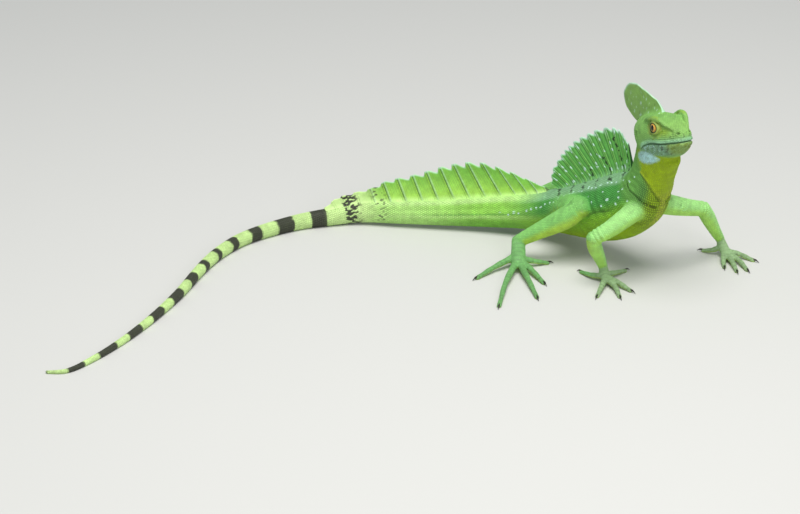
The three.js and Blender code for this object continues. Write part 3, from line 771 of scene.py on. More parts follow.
def linear(rgb):
    share = np.asarray(rgb, float) / 255
    return np.where(share <= 0.04045, share / 12.92, ((share + 0.055) / 1.055) ** 2.4)


INK = {name: linear(rgb) for name, rgb in TINTS.items()}


def blend(under, over, amount):
    return under + (over - under) * np.asarray(amount)[:, None]


def tint(ink, name, amount):
    return blend(ink, INK[name], amount)


def spots(s, around, rows, seed):
    # rows: first and last place along, gap, place round the body in mm, size.
    draw = np.random.default_rng(seed)
    mask = np.zeros(len(s))
    for first, last, gap, level, size in rows:
        for at in np.arange(first, last, gap):
            middle, height = at + draw.uniform(-0.25, 0.25) * gap, level + draw.uniform(-1, 1) * 1.3
            big = size * draw.uniform(0.65, 1.2)
            tall = draw.uniform(0.75, 1.4)
            distance = np.hypot((s - middle) * tall, (around - height) / tall) / big
            mask = np.maximum(mask, 1 - smooth(0.75, 1.1, distance))
    return mask


# %% Colour by place
PALE_RINGS = [161, 187, 215, 239, 261, 281, 302, 329, 359, 389, 419, 452, 480]  # middles, mm from the hips


def tail_rings(places, s, ink):
    # The first rings are only specks; further back they are solid.
    pale = np.zeros(len(s))
    for middle in PALE_RINGS:
        pale = np.maximum(pale, 1 - smooth(6.2, 8, np.abs(s - middle) + wave(places, 5, 23) * 0.8))
    ringed = smooth(139, 145, s)
    ink = tint(ink, "ring_pale", smooth(120, 145, s))
    grain = wave(places, 2.6, 24) + 0.6 * wave(places, 5, 25)
    solid = smooth(150, 172, s)
    specks = smooth(-0.12, 0.1, grain + 0.55 * bell(s - 149, 8) - 0.45)
    dark = ringed * (1 - pale) * np.maximum(solid, specks)
    few = smooth(0.2, 0.36, grain) * bell(s - 127, 5)
    return tint(ink, "ring_dark_and_brow_shade", np.maximum(dark, 0.85 * few))


def body_colour(places, s, phi, radius):
    turn = np.abs(phi)
    around = turn * radius
    ink = blend(np.tile(INK["back"], (len(s), 1)), INK["flank"],
        smooth(0.72, 0.92, turn + 0.05 * wave(places, 9, 21)))
    ink = tint(ink, "low_flank", smooth(1.35, 2.1, turn))
    ink = tint(ink, "belly", smooth(2.1, 2.6, turn))
    neck = smooth(-84, -96, s)
    ink = tint(ink, "neck", neck * smooth(0.3, 0.8, turn) * smooth(2.6, 2.2, turn))
    before = smooth(-0.6, 0.8, before_fold(s, turn))
    ink = tint(ink, "throat", neck * before * (0.85 + 0.15 * wave(places, 12, 27)))
    ink = tint(ink, "throat_edge", 0.6 * neck * before * smooth(2.55, 2.95, turn))
    ink = tint(ink, "throat_edge", 0.9 * bell(fold_distance(s, turn, THROAT_FOLD), 0.75))
    # Painted shade: a dark band just behind the throat fold, where the skin dips under it.
    ink = tint(ink, "marks_and_shade", 0.3 * bell(fold_distance(s - 1.9, turn, THROAT_FOLD), 0.7))
    # Painted shade: a dark line in the crease of the neck fold.
    ink = tint(ink, "marks_and_shade", 0.6 * bell(fold_distance(s, turn, NECK_FOLD), 0.5))
    # Painted shade: a dark line in the carved groove along the flank, above the swell.
    ink = tint(ink, "marks_and_shade", 0.5 * bell(turn - 1.7 - 0.12 * wave(places, 26, 3), 0.035) * smooth(-80, -70, s)
        * smooth(-8, -18, s))
    tail = smooth(-6, 40, s)
    ink = tint(ink, "tail", tail)
    ink = tint(ink, "tail_low", tail * smooth(1.7, 2.3, turn) * smooth(110, 60, s))
    ink = tint(ink, "tail_top", tail * (0.8 * (1 - smooth(0.5, 0.75, turn)) + 0.5 * bell(turn - 1.72, 0.16)))
    ink = tint(ink, "tail_top", 0.6 * smooth(50, 115, s))
    ink = tint(ink, "flank", 0.6 * tail * bell(turn - 1.5, 0.05) * smooth(120, 70, s))
    ink = tail_rings(places, s, ink)
    rows = [(-96, 44, 5.4, 15.5, 1.05), (-84, -20, 15, 21.5, 0.8), (-86, -24, 12, 27, 1.15),
        (-96, -50, 14, 32, 1.0), (-112, -92, 9, 20, 1.0)]
    ink = tint(ink, "spot", 0.9 * spots(s, around, rows, 31) * smooth(-116, -110, s))
    bars = smooth(0.55, 0.9, np.sin(2 * np.pi * (s + 0.6 * around) / 14.5 + 1.5 * wave(places, 14, 25)))
    bars *= smooth(0.05, 0.3, wave(places, 4.5, 26) + 0.2) * smooth(16, 12, around) * smooth(1, 3.5, around)
    return tint(ink, "marks_and_shade", 0.85 * bars * smooth(-96, -88, s) * smooth(-4, -12, s))


def head_colour(places):
    local = to_head(places)
    x, y, z = local.T
    ink = np.tile(INK["face"], (len(x), 1))
    ink = tint(ink, "snout", smooth(26, 40, x) * 0.8)
    ink = tint(ink, "throat", smooth(-11.5, -15, z + 0.15 * x - 3) * smooth(46, 34, x))
    mouth = mouth_line(x)
    lip = smooth(9, 14, x)
    ink = tint(ink, "lip", 0.75 * lip * bell(z - mouth - 1, 2.2))
    below = lip * smooth(0, -1, z - mouth) * smooth(-10, -7, z - mouth)
    ink = tint(ink, "lower_lip", 0.9 * below)
    patch = smooth(6.2, 3.8, np.hypot((x - 11) / 2, (z + 15.6) / 0.9)
        + 0.7 * wave(places, 3, 44)) * smooth(2, 5, np.abs(y))
    ink = tint(ink, "jaw", patch)
    ink = tint(ink, "lower_lip", 0.45 * patch * smooth(0.2, 0.5, wave(places, 2.2, 45)))
    flecks = smooth(0.1, 0.35, wave(places, 3.2, 41))
    ink = tint(ink, "ring_dark_and_brow_shade", 0.7 * flecks * below * smooth(18, 34, x))
    ink = tint(ink, "throat", 0.45 * below * smooth(34, 42, x))
    ink = tint(ink, "jaw", 0.6 * smooth(0.15, 0.4, wave(places, 2.4, 42)) * below * smooth(40, 20, x))
    ink = tint(ink, "throat", 0.5 * bell(np.hypot((x - 36) / 1.8, z - 3.4), 2.6))
    ink = tint(ink, "ring_dark_and_brow_shade", 0.5 * smooth(0.2, 0.45, wave(places, 2.2, 43)) * smooth(34, 42, x)
        * bell(z - 0.5, 3.2))
    # Painted shade: a dark line in the carved slit of the mouth.
    ink = tint(ink, "marks_and_shade", 0.8 * lip * bell(z - mouth, 0.35))
    for s in (1, -1):
        lens, _ = lid_measure(local, s)
        # Painted shadow: a dark line under the brow ridge, along the carved groove.
        ink = tint(ink, "ring_dark_and_brow_shade", 0.4 * bell(brow_distance(local, s), 0.7))
        ink = tint(ink, "lid", 0.9 * bell(lens - 1.2, 0.12) + 0.35 * bell(lens - 1.85, 0.12))
        # Painted shade: yellow-olive arcs in the lid's two carved grooves, between its paler rings.
        ink = tint(ink, "throat", 0.55 * bell(lens - 1.52, 0.1) + 0.45 * bell(lens - 2.15, 0.1))
        # Painted shade: the skin inside the lid opening, seen only in the gap round the eyeball, is made
        # black.
        ink = tint(ink, "marks_and_shade", 0.9 * (lens < 1.05))
        nostril = np.linalg.norm(local - NOSTRIL * [1, s, 1], axis=1)
        # Painted shade: the nostril's carved pit is darkened.
        ink = tint(ink, "marks_and_shade", 0.9 * bell(nostril, 0.8))
    return ink


def hide_colour(places, normals):
    on_body, on_limb, on_foot = locate(places)
    ink = body_colour(places, on_body["s"], on_body["phi"], on_body["radius"])
    limb = np.tile(INK["limb_top"], (len(places), 1))
    front = smooth(22, 34, places[:, 0] - 0.25 * places[:, 1] - 16)
    limb = tint(limb, "arm", front)
    limb = tint(limb, "limb_low", (1 - front) * smooth(0.3, -0.4, normals[:, 2]))
    limb = tint(limb, "arm_low", front * smooth(0.3, -0.4, normals[:, 2]))
    limb = tint(limb, "marks_and_shade", 0.25 * smooth(0.35, 0.7, wave(places, 7, 51)) * smooth(0.2, 0.7, normals[:, 2]))
    foot = blend(np.tile(INK["foot"], (len(places), 1)), INK["hand"], front)
    foot = tint(foot, "limb_low", 0.6 * smooth(0, -0.6, normals[:, 2]))
    foot = tint(foot, "ring_dark_and_brow_shade", 0.16 * smooth(0.2, 0.6, np.sin(on_foot["s"] * 1.7)))
    weight = np.array([np.exp(-9 * f["ratio"]) for f in (on_body, on_limb, on_foot)])
    weight /= weight.sum(0)
    ink = weight[0][:, None] * ink + weight[1][:, None] * limb + weight[2][:, None] * foot
    ink = blend(ink, head_colour(places), head_share(places))
    return np.clip(ink * (1 + 0.10 * wave(places, 11, 61) + 0.06 * wave(places, 3, 62))[:, None], 0.002, 1)


def throat_share(found, places):
    # 1 under the neck and on the chest, where single scales stand out most. In the picture this shows on
    # the chest and hardly on the upper throat.
    on_body, on_limb, _ = found
    under = smooth(-70, -92, on_body["s"]) * smooth(1.7, 2.3, np.abs(on_body["phi"]))
    near = smooth(3.2, 2.8, on_body["ratio"]) * smooth(1.0, 1.3, on_limb["ratio"])
    return under * near * (1 - head_share(places))


def add_colour(mesh, ink):
    layer = mesh.color_attributes.new("hide", "FLOAT_COLOR", "POINT")
    layer.data.foreach_set("color", np.c_[ink, np.ones(len(ink))].astype(np.float32).ravel())


# %% [markdown]
# ## The hide's material
# A live lizard's skin is satin, not wet: soft highlights, a fine grain between the scales and small shifts
# of tone. The colour comes from the rule above, stored on the points. Noise and cells in the shader add
# what is finer than the net.


# %% Material of skin and scales
def hide_material(name, grain, depth, gloss, shade=0.12):
    material, graph, shader = new_material(name)
    nodes, links = graph.nodes, graph.links
    place = nodes.new("ShaderNodeTexCoord")
    colour = nodes.new("ShaderNodeAttribute")
    colour.attribute_name = "hide"
    cells = nodes.new("ShaderNodeTexVoronoi")
    set_inputs(cells, Scale=1000 / grain)
    clouds = nodes.new("ShaderNodeTexNoise")
    set_inputs(clouds, Scale=220, Detail=6)
    for texture in (cells, clouds):
        links.new(place.outputs["Object"], texture.inputs["Vector"])
    tone = nodes.new("ShaderNodeMapRange")
    set_inputs(tone, From_Min=0.3, From_Max=0.7, To_Min=1 - shade, To_Max=1 + shade)
    links.new(clouds.outputs["Fac"], tone.inputs["Value"])
    tinted = nodes.new("ShaderNodeVectorMath")
    tinted.operation = "SCALE"
    links.new(colour.outputs["Color"], tinted.inputs[0])
    links.new(tone.outputs["Result"], tinted.inputs["Scale"])
    links.new(tinted.outputs["Vector"], shader.inputs["Base Color"])
    rough = nodes.new("ShaderNodeMapRange")
    set_inputs(rough, To_Min=gloss - 0.07, To_Max=gloss + 0.1)
    links.new(clouds.outputs["Fac"], rough.inputs["Value"])
    links.new(rough.outputs["Result"], shader.inputs["Roughness"])
    bump = nodes.new("ShaderNodeBump")
    set_inputs(bump, Strength=depth, Distance=0.0002)
    links.new(cells.outputs["Distance"], bump.inputs["Height"])
    links.new(bump.outputs["Normal"], shader.inputs["Normal"])
    set_inputs(shader, Specular_IOR_Level=0.35)
    return material


skin_finish = hide_material("lizard_skin", 0.55, 0.5, 0.52)
scale_finish = hide_material("lizard_scales", 0.3, 0.15, 0.52)

# %% Show the skin
skin_points, skin_normals = points_of(net), normals_of(net)
net_faces = bpy.data.meshes.new("skin")
bm = bmesh.new()
bm.from_mesh(net)
bm.to_mesh(net_faces)
bm.free()
set_points(net_faces, (skin_points - DRAWN_MIDDLE) / 1000)
net_faces.polygons.foreach_set("use_smooth", np.ones(len(net_faces.polygons), bool))
skin_ink = hide_colour(skin_points, skin_normals)
# The skin is darkened, most under the neck and on the chest: painted shade in the gaps between the scales,
# where the skin shows.
add_colour(net_faces, skin_ink * (0.82 - 0.42 * throat_share(here, skin_points))[:, None])
flesh = [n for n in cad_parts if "crest" not in n and "eye" not in n]
skin = show("skin", net_faces, skin_finish, "skin", *flesh)

# %% [markdown]
# ## Sails of back and tail
# Each sail is skin stretched over bony rays. A flat plane would look like paper, so both faces are nets
# of points: every ray is a double rib with a groove between, the skin sags in a scallop between two ray
# tips, and the foot flares out into the back. The casque on the skull is made the same way, with faint ribs.

# %% A sail
SINK = 2.5  # how deep a sail's foot starts in the back


def smooth_list(values, t):
    return along([[v] for v in values], t * (len(values) - 1))[:, 0]


def sail_net(rays, ray_count, foot, edge, rib, scallop, per_ray=18, heights=34, double=0.085, wave_size=0.5):
    t = np.linspace(0, 1, ray_count * per_ray + 1)
    root, way, length, side = rays(t)
    phase = (np.arange(len(t)) % per_ray) / per_ray
    off = np.minimum(phase, 1 - phase)
    signed = np.where(phase > 0.5, phase - 1, phase)
    ribs = bell(np.abs(signed) - double, 0.055)
    sag = smooth(0.12, 0.7, phase) * smooth(0.92, 0.7, phase)
    reach = length * (1 - scallop * sag) - 0.25 * bell(signed, 0.05) * (length > 6)
    h = np.linspace(0, 1, heights) ** 0.92
    out = reach[:, None] * h
    flare = 3.2 * np.exp(-np.maximum(out - SINK, 0) / 1.6) * (out < 12)
    thick = edge + (foot - edge) * (1 - h) ** 1.5 + flare
    thick = thick + rib * ribs[:, None] * (1 - 0.55 * h) * smooth(0, 0.08, h)
    thick *= np.sqrt(np.clip((1 - h) / 0.035, 0.12, 1))
    sway = wave_size * np.sin(t * 9 + 1)[:, None] * h ** 2
    sway = sway + 0.15 * np.sin(2 * np.pi * phase)[:, None] * h ** 2
    middle = root[:, None] + out[..., None] * way[:, None] + sway[..., None] * side[:, None]
    faces = [middle + face * thick[..., None] / 2 * side[:, None] for face in (1, -1)]
    per_column = {"rib": ribs, "groove": bell(signed, 0.045), "off": off, "signed": signed}
    data = {key: np.tile(value[:, None], heights) for key, value in per_column.items()}
    data.update(t=t[:, None] + 0 * h, h=np.tile(h, (len(t), 1)), out=out - SINK)
    return faces, data


def sail_form(faces):
    columns, heights = faces[0].shape[:2]
    places = np.vstack([face.reshape(-1, 3) for face in faces])
    size = columns * heights
    c, r = np.meshgrid(np.arange(columns - 1), np.arange(heights - 1), indexing="ij")
    a = (c * heights + r).ravel()
    b, d, e = a + heights, a + 1, a + heights + 1
    near = np.vstack([np.c_[a, b, d], np.c_[b, e, d]])
    far = near[:, ::-1] + size
    rim = []
    for row, turn in ((0, 1), (heights - 1, -1)):
        a = np.arange(columns - 1) * heights + row
        b = a + heights
        rim += [np.c_[a, a + size, b][:, ::turn], np.c_[b, a + size, b + size][:, ::turn]]
    for column, turn in ((0, -1), (columns - 1, 1)):
        a = column * heights + np.arange(heights - 1)
        b = a + 1
        rim += [np.c_[a, a + size, b][:, ::turn], np.c_[b, a + size, b + size][:, ::turn]]
    return places, np.vstack([near, far] + rim)


def back_rays(u0, u1, lengths, leans):
    def rays(t):
        st = frames_at(BODY_ROWS, u0 + (u1 - u0) * t, body_hint)
        lean = np.radians(smooth_list(leans, t))[:, None]
        way = st["back"] * np.cos(lean) + st["run"] * np.sin(lean)
        root = st["centre"] + st["back"] * (st["size"][:, 1:2] - SINK)
        return root, way, np.maximum(smooth_list(lengths, t), 0.6) + SINK, st["side"]
    return rays


BACK_LENGTHS = [8, 17, 23, 28, 31, 33, 33, 33, 32, 29.5, 25, 19]
BACK_LEANS = [56, 48, 40, 36, 33, 27, 18, 8, -4, -16, -30, -42]
TAIL_LENGTHS = [1.5, 7.2, 8.3, 10.5, 16.5, 19.5, 23.3, 27.3, 29.4, 29, 23.5, 15.5, 4]
TAIL_LEANS = [22, 20, 18, 18, 18, 20, 24, 30, 38]
BACK_SPAN, TAIL_SPAN = (7.45, 3.55), (14.1, 7.95)  # rows of the body where a sail ends and begins
back_sail_rays = back_rays(*BACK_SPAN, BACK_LENGTHS, BACK_LEANS)
tail_sail_rays = back_rays(*TAIL_SPAN, TAIL_LENGTHS, TAIL_LEANS)

# Each row of the casque: x and z of a ray's root inside the skull, then of its end on the edge.
CASQUE_ROWS = [
    [21.5, 11, 21.8, 14.6], [19, 11.2, 17.4, 20.6], [16.5, 11.2, 11.4, 24], [13, 11, 1, 28.2],
    [10, 10.8, -8.8, 31.8], [7, 10.6, -19.7, 32.2], [4, 10, -28.6, 26.6], [1, 9, -29.8, 19],
    [-2, 8, -24.5, 12], [-4, 6.5, -15, 6],
]


def casque_rays(t):
    rows = along(CASQUE_ROWS, t * (len(CASQUE_ROWS) - 1))
    root = np.c_[rows[:, 0], 0 * t, rows[:, 1]]
    end = np.c_[rows[:, 2], 0 * t, rows[:, 3]]
    length = np.linalg.norm(end - root, axis=1)
    turned = (end - root) / length[:, None]
    return from_head(root), turned @ HEAD_AXES, length, np.tile(LEFT, (len(t), 1))


# %% Colour the sails
def flat(values):
    return values.reshape(-1)


def sail_marks(data, seed):
    # White-blue spots in loose rows on the ribs, and broken black marks that climb from the back.
    draw = np.random.default_rng(seed)
    out, t = data["out"], data["t"]
    spot = np.zeros_like(t)
    for _ in range(64):
        at, high = (np.floor(draw.uniform(0, 1) * 16) + draw.choice([-0.12, 0.12])) / 16, draw.uniform(2, 30)
        big = draw.uniform(0.45, 0.85)
        spot = np.maximum(spot, 1 - smooth(0.6, 1.2, np.hypot((t - at) * 95, (out - high) / 1.7) / big))
    return spot


def back_sail_colour(places, data):
    shape = data["t"].shape
    ink = np.tile(INK["sail"], (data["t"].size, 1))
    ink = tint(ink, "back", flat(smooth(6, -1, data["out"])) * 0.7)
    ink = tint(ink, "sail_light", flat(data["rib"]) * 0.75)
    # Painted shade in each ray's groove between its two ribs, together with a real dark line of colour beside
    # each ray.
    beside = bell(data["off"] - 0.27, 0.05)
    ink = tint(ink, "sail_groove_shade_and_line", flat(np.clip(data["groove"] + 0.6 * beside, 0, 1)
        * smooth(0.02, 0.15, data["h"])) * 0.9)
    ink = tint(ink, "rim", flat(smooth(0.95, 0.985, data["h"])) * 0.85)
    ink = tint(ink, "rim", flat(smooth(0.72, 1, data["h"]) * data["rib"]) * 0.7)
    ink = tint(ink, "spot", flat(sail_marks(data, 71)) * 0.9)
    marks_and_shade = np.zeros(shape)
    for at, lean, top in ((0.4, 0.05, 12), (0.62, -0.04, 15), (0.79, -0.05, 25), (0.955, -0.02, 17)):
        zigzag = 0.005 * np.sin(data["out"] * 2.1 + at * 9)
        line = np.abs(data["t"] - at - lean * data["out"] / 20 - zigzag) * 95
        line = line + 0.5 * (1 + np.sin(data["out"] * 1.3 + at * 31))
        gaps = np.sin(data["out"] * 0.8 + at * 40) > -0.75
        marks_and_shade = np.maximum(marks_and_shade, (1 - smooth(0.9, 1.5, line)) * gaps * (data["out"] < top)
            * (data["out"] > -3))
    return tint(ink, "marks_and_shade", 0.9 * flat(marks_and_shade))


def tail_sail_colour(places, data):
    ink = np.tile(INK["tail_sail"], (data["t"].size, 1))
    ink = tint(ink, "sail_front", flat(smooth(0.42, 1.12,
        0.5 * data["t"] + 0.75 * data["h"] + 0.04 * np.sin(data["t"] * 60))))
    ink = tint(ink, "tail_top", flat(smooth(5, 0, data["out"])) * 0.8)
    stripes = bell(data["off"] - 0.21, 0.03) + bell(data["off"] - 0.34, 0.03) + bell(data["off"] - 0.46, 0.03)
    ink = tint(ink, "sail", flat(stripes * smooth(0.2, 0.5, data["h"])) * 0.4)
    # Painted shade in each ray's groove between its two ribs.
    ink = tint(ink, "sail_groove_shade_and_line", flat(data["groove"] * smooth(0.08, 0.35, data["h"])) * 0.8)
    ink = tint(ink, "rim", flat(bell(data["signed"] - 0.1, 0.05) * smooth(0, 0.3, data["h"])) * 0.4)
    ink = tint(ink, "rim", flat(smooth(0.95, 0.99, data["h"])) * 0.6)
    share = np.linspace(0, 1, 50)
    foot = np.interp(TAIL_SPAN[0] + (TAIL_SPAN[1] - TAIL_SPAN[0]) * share, body["u"], body["s"])
    on_body = np.interp(flat(data["t"]), share, foot)
    return tail_rings(places, on_body, ink)


def casque_colour(places, data):
    ink = np.tile(INK["casque"], (data["t"].size, 1))
    ink = tint(ink, "face", flat(smooth(6, 0, data["out"])))
    ink = tint(ink, "spot", 0.5 * smooth(0.35, 0.6, wave(places, 5, 81)) * flat(smooth(0.9, 0.6, data["h"])))
    ink = tint(ink, "marks_and_shade", 0.5 * smooth(0.55, 0.7, wave(places, 4, 82)) * flat(bell(data["h"] - 0.45, 0.2)))
    return tint(ink, "rim", flat(smooth(0.94, 0.99, data["h"])) * 0.75)


# %% Show the sails
sail_finish = hide_material("sail_skin", 0.4, 0.35, 0.5)
SAILS = {
    "back_sail": (back_sail_rays, dict(ray_count=16, foot=2.4, edge=0.75, rib=0.95, scallop=0.07),
        back_sail_colour, "dorsal_crest"),
    "tail_sail": (tail_sail_rays, dict(ray_count=16, foot=2.4, edge=0.75, rib=0.55, scallop=0.12,
        per_ray=24), tail_sail_colour, "tail_crest"),
    "casque": (casque_rays, dict(ray_count=7, foot=4.2, edge=1.1, rib=0.2, scallop=0.01, per_ray=30,
        wave_size=0.2), casque_colour, "head_crest"),
}
sail_faces = {}
for name, (rays, sizes, colour, node) in SAILS.items():
    faces, data = sail_net(rays, **sizes)
    places, triangles = sail_form(faces)
    mesh = mesh_of(name, places, triangles)
    inks = [colour(face.reshape(-1, 3), data) for face in faces]
    tone = 1 + 0.1 * wave(places, 8, 63) + 0.05 * wave(places, 2.5, 64)
    add_colour(mesh, np.clip(np.vstack(inks) * tone[:, None], 0.002, 1))
    sail_faces[name] = (faces, data, inks)
    show(name, mesh, sail_finish, "crest", node)

# %% [markdown]
# ## Eyes
# A lizard's eye is a ball with a slightly raised clear front. The iris is old gold, streaked outwards from
# a small black pupil and darker at its rim. Rings of points lie close together where pupil and iris
# change, so that both edges stay sharp.


# %% Make the eyes
EYE_SPOKES = 72


def eye_mesh(name, side):
    steep = np.r_[np.linspace(0, 0.3, 8), np.linspace(0.33, 1.0, 26), np.linspace(1.08, np.pi, 30)]
    turn = np.linspace(0, 2 * np.pi, EYE_SPOKES, endpoint=False)
    radius = EYE_RADIUS - 0.12 + 0.22 * bell(steep, 0.75)
    axis = unit(np.array([0.12, side * 1.0, 0.08]))
    up = unit(np.array([0, 0, 1.0]) - axis * axis[2])
    across = np.cross(up, axis)
    around = np.cos(turn)[:, None] * up + np.sin(turn)[:, None] * across
    rings = radius[:, None, None] * (np.cos(steep)[:, None, None] * axis
        + np.sin(steep)[:, None, None] * around)
    places, faces = closed_form(EYE_AT * [1, side, 1] + rings)
    mesh = mesh_of(name, from_head(places), faces)
    angle = np.repeat(steep, EYE_SPOKES)
    spin = np.tile(turn, len(steep))
    pupil = 1 - smooth(0.37, 0.41, angle * (1 - 0.12 * np.cos(2 * spin)))
    streak = 0.5 + 0.3 * np.sin(spin * 23 + 2 * np.sin(spin * 7)) + 0.2 * np.sin(spin * 41)
    ink = blend(np.tile(INK["iris"], (len(angle), 1)), INK["iris_dark"],
        0.5 * streak * smooth(0.35, 0.7, angle))
    ink = tint(ink, "iris_light", bell(angle - 0.44, 0.06) * 0.8)
    ink = tint(ink, "iris_dark", smooth(0.78, 0.92, angle))
    # Painted shade: the ball is darkened beyond the iris, where it passes under the lids.
    ink = tint(ink, "marks_and_shade", smooth(1.0, 1.1, angle) * 0.8)
    ink = blend(ink, np.full(3, 0.003), pupil)
    add_colour(mesh, np.vstack([ink, ink[:1], ink[-1:]]))
    return mesh


def eye_material():
    material, graph, shader = new_material("clear_eye")
    nodes, links = graph.nodes, graph.links
    colour = nodes.new("ShaderNodeAttribute")
    colour.attribute_name = "hide"
    fleck = nodes.new("ShaderNodeTexNoise")
    set_inputs(fleck, Scale=2500)
    place = nodes.new("ShaderNodeTexCoord")
    links.new(place.outputs["Object"], fleck.inputs["Vector"])
    mixed = nodes.new("ShaderNodeMix")
    mixed.data_type, mixed.blend_type = "RGBA", "MULTIPLY"
    set_inputs(mixed, Factor=0.35)
    links.new(colour.outputs["Color"], mixed.inputs[6])
    links.new(fleck.outputs["Color"], mixed.inputs[7])
    links.new(mixed.outputs[2], shader.inputs["Base Color"])
    set_inputs(shader, Roughness=0.3, Specular_IOR_Level=0.2, Coat_Weight=0.4, Coat_Roughness=0.03)
    return material


eye_finish = eye_material()
for name, side in (("eye_left", 1), ("eye_right", -1)):
    show(name + "_ball", eye_mesh(name + "_ball", side), eye_finish, "eye", name)

# %% [markdown]
# ## Claws
# Each toe ends in a dark, hooked claw, deeper than it is wide, with a paler root. They are kept as one
# separate piece of small bent cones, because horn is glossier than skin.

# %% Make the claws
CLAW_LENGTH = 4.2


def claw_form(middle, tip, thick):
    way = unit(np.array([tip[0] - middle[0], tip[1] - middle[1], 0.0]))
    rows = [[-1.6, 0.35, thick * 0.6], [0.2, 0.5, thick * 0.56], [CLAW_LENGTH * 0.45, 0.7, thick * 0.38],
        [CLAW_LENGTH * 0.8, 0.15, thick * 0.2], [CLAW_LENGTH + 0.5, -0.85, 0.08]]
    path = [
        [tip[0] + way[0] * out, tip[1] + way[1] * out, tip[2] + rise, radius]
        for out, rise, radius in rows
    ]
    return tube_form(path, 14, 1.25, 0.3)


claws, claw_tips = [], []
for leg, parts in LEGS.items():
    thick = TOE_THICK[leg.split("_")[0]][2]
    for toe in parts["toes"]:
        form = claw_form(toe[1], toe[2], thick)
        claws.append(form)
        claw_tips.append(np.linalg.norm(form[0] - np.array(toe[2]), axis=1))
claw_places, claw_faces = merged(claws)
claw_places[:, 2] = np.maximum(claw_places[:, 2], 0.02)
claw_mesh = mesh_of("claws", claw_places, claw_faces)
far = np.concatenate(claw_tips)
add_colour(claw_mesh, blend(np.tile(INK["claw_root"], (len(far), 1)), INK["claw"], smooth(0.3, 2.2, far)))
claw_finish = hide_material("horn", 0.8, 0.1, 0.3)
show("claws", claw_mesh, claw_finish, "skin")

# %% [markdown]
# ## Scales
# A basilisk's hide is a mosaic of small, flat scales in slanting rows, with keels on the back and rings
# on the tail. Each scale is a low closed tile with six corners and a keel, set on the skin with its free
# corner to the rear. A row's places are worked out on the same courses as the body and then snapped to
# the skin, and what would crowd a scale of an earlier row is left out.

# %% Snap to the skin
tree = BVHTree.FromObject(skin, bpy.context.evaluated_depsgraph_get())
mesh_normals = normals_of(skin.data)
loop_starts = read(skin.data.polygons, "loop_start", 1, np.int32)[:, 0]
loop_vertices = read(skin.data.loops, "vertex_index", 1, np.int32)[:, 0]
print("skin to snap to:", len(loop_starts), "faces")


def snap(places, reach):
    # Nearest place on the skin, its smooth normal, and whether it was near enough.
    metres = (places - DRAWN_MIDDLE) / 1000
    found = np.zeros_like(places)
    face = np.zeros(len(places), int)
    ok = np.zeros(len(places), bool)
    for i, place in enumerate(metres):
        spot, _, index, distance = tree.find_nearest(place, reach / 1000)
        if spot is not None:
            found[i], face[i], ok[i] = spot, index, True
    corners = loop_vertices[loop_starts[face][:, None] + np.arange(3)]
    return found * 1000 + DRAWN_MIDDLE, unit(mesh_normals[corners].mean(1)), ok


# %% Rows of places on a course
ROW_STEP = 0.8  # from row to row, in lengths of a scale: the rest overlaps


def rows_on(st, half, top, bottom, power, length, width):
    # Staggered rows of places round a course, with the way each scale points and its size.
    places, ways, sizes, charts = [], [], [], []
    phi = np.linspace(0, 2 * np.pi, 121)
    steps = st["s"]
    s, k = steps[0], 0
    while s < steps[-1] - 0.3:
        long, wide = (float(v(s)) if callable(v) else v for v in (length, width))
        i = int(np.argmin(np.abs(steps - s)))
        one = {key: st[key][i:i + 1] for key in ("centre", "side", "back")}
        ring = ring_points(one, half[i:i + 1], top[i:i + 1], bottom[i:i + 1], phi, power)[0]
        run = np.r_[0, np.cumsum(np.linalg.norm(np.diff(ring, axis=0), axis=1))]
        count = max(5, int(round(run[-1] / wide)))
        spot = (np.arange(count) + (0.5 if k % 2 else 0)) / count * run[-1]
        turn = np.interp(spot, run, phi)
        on_ring = np.stack([np.interp(spot, run, ring[:, axis]) for axis in range(3)], 1)
        places.append(on_ring + (s - steps[i]) * st["run"][i])
        ways.append(np.tile(st["run"][i], (count, 1)))
        sizes.append(np.tile([long, run[-1] / count], (count, 1)))
        charts.append(np.c_[np.full(count, (s - steps[0]) / (steps[-1] - steps[0])), turn / (2 * np.pi)])
        s += long * ROW_STEP
        k += 1
    return [np.vstack(v) for v in (places, ways, sizes, charts)]


# %% Tiles from places
CORNERS = np.array([[0.62, 0], [0.2, 0.47], [-0.3, 0.44], [-0.46, 0], [-0.3, -0.44], [0.2, -0.47],
    [-0.2, 0], [0.4, 0]])
TOP_FACES = np.array([[0, 1, 7], [1, 2, 7], [2, 6, 7], [2, 3, 6], [3, 4, 6], [4, 7, 6], [4, 5, 7], [5, 0, 7]])
UNDER_FACES = np.array([[0, 2, 1], [0, 3, 2], [0, 4, 3], [0, 5, 4]])
TILE_FACES = np.vstack([TOP_FACES, UNDER_FACES])


def tiles(places, normals, ways, sizes, thick, seed):
    draw = np.random.default_rng(seed)
    forward = unit(ways - normals * (ways * normals).sum(1, keepdims=True))
    twist = draw.normal(0, 0.05, len(places))[:, None]
    across = np.cross(normals, forward)
    forward, across = forward + twist * across, across - twist * forward
    grow = draw.uniform(0.93, 1.04, (len(places), 1))
    x = CORNERS[None, :, 0] * sizes[:, :1] * grow
    y = CORNERS[None, :, 1] * sizes[:, 1:2] * 1.02 * grow
    tall = thick * np.minimum(sizes[:, 1:2], sizes[:, :1])
    z = np.tile([0.02, -0.12, -0.13, -0.16, -0.13, -0.12, 0, 0], (len(places), 1)) * 1.0
    z[:, 6], z[:, 7], z[:, 0] = (tall * 0.72)[:, 0], tall[:, 0], (tall * 0.3)[:, 0]
    points = places[:, None] + x[..., None] * forward[:, None] + y[..., None] * across[:, None]
    points = points + z[..., None] * normals[:, None]
    faces = (TILE_FACES[None] + 8 * np.arange(len(places))[:, None, None]).reshape(-1, 3)
    return points.reshape(-1, 3), faces


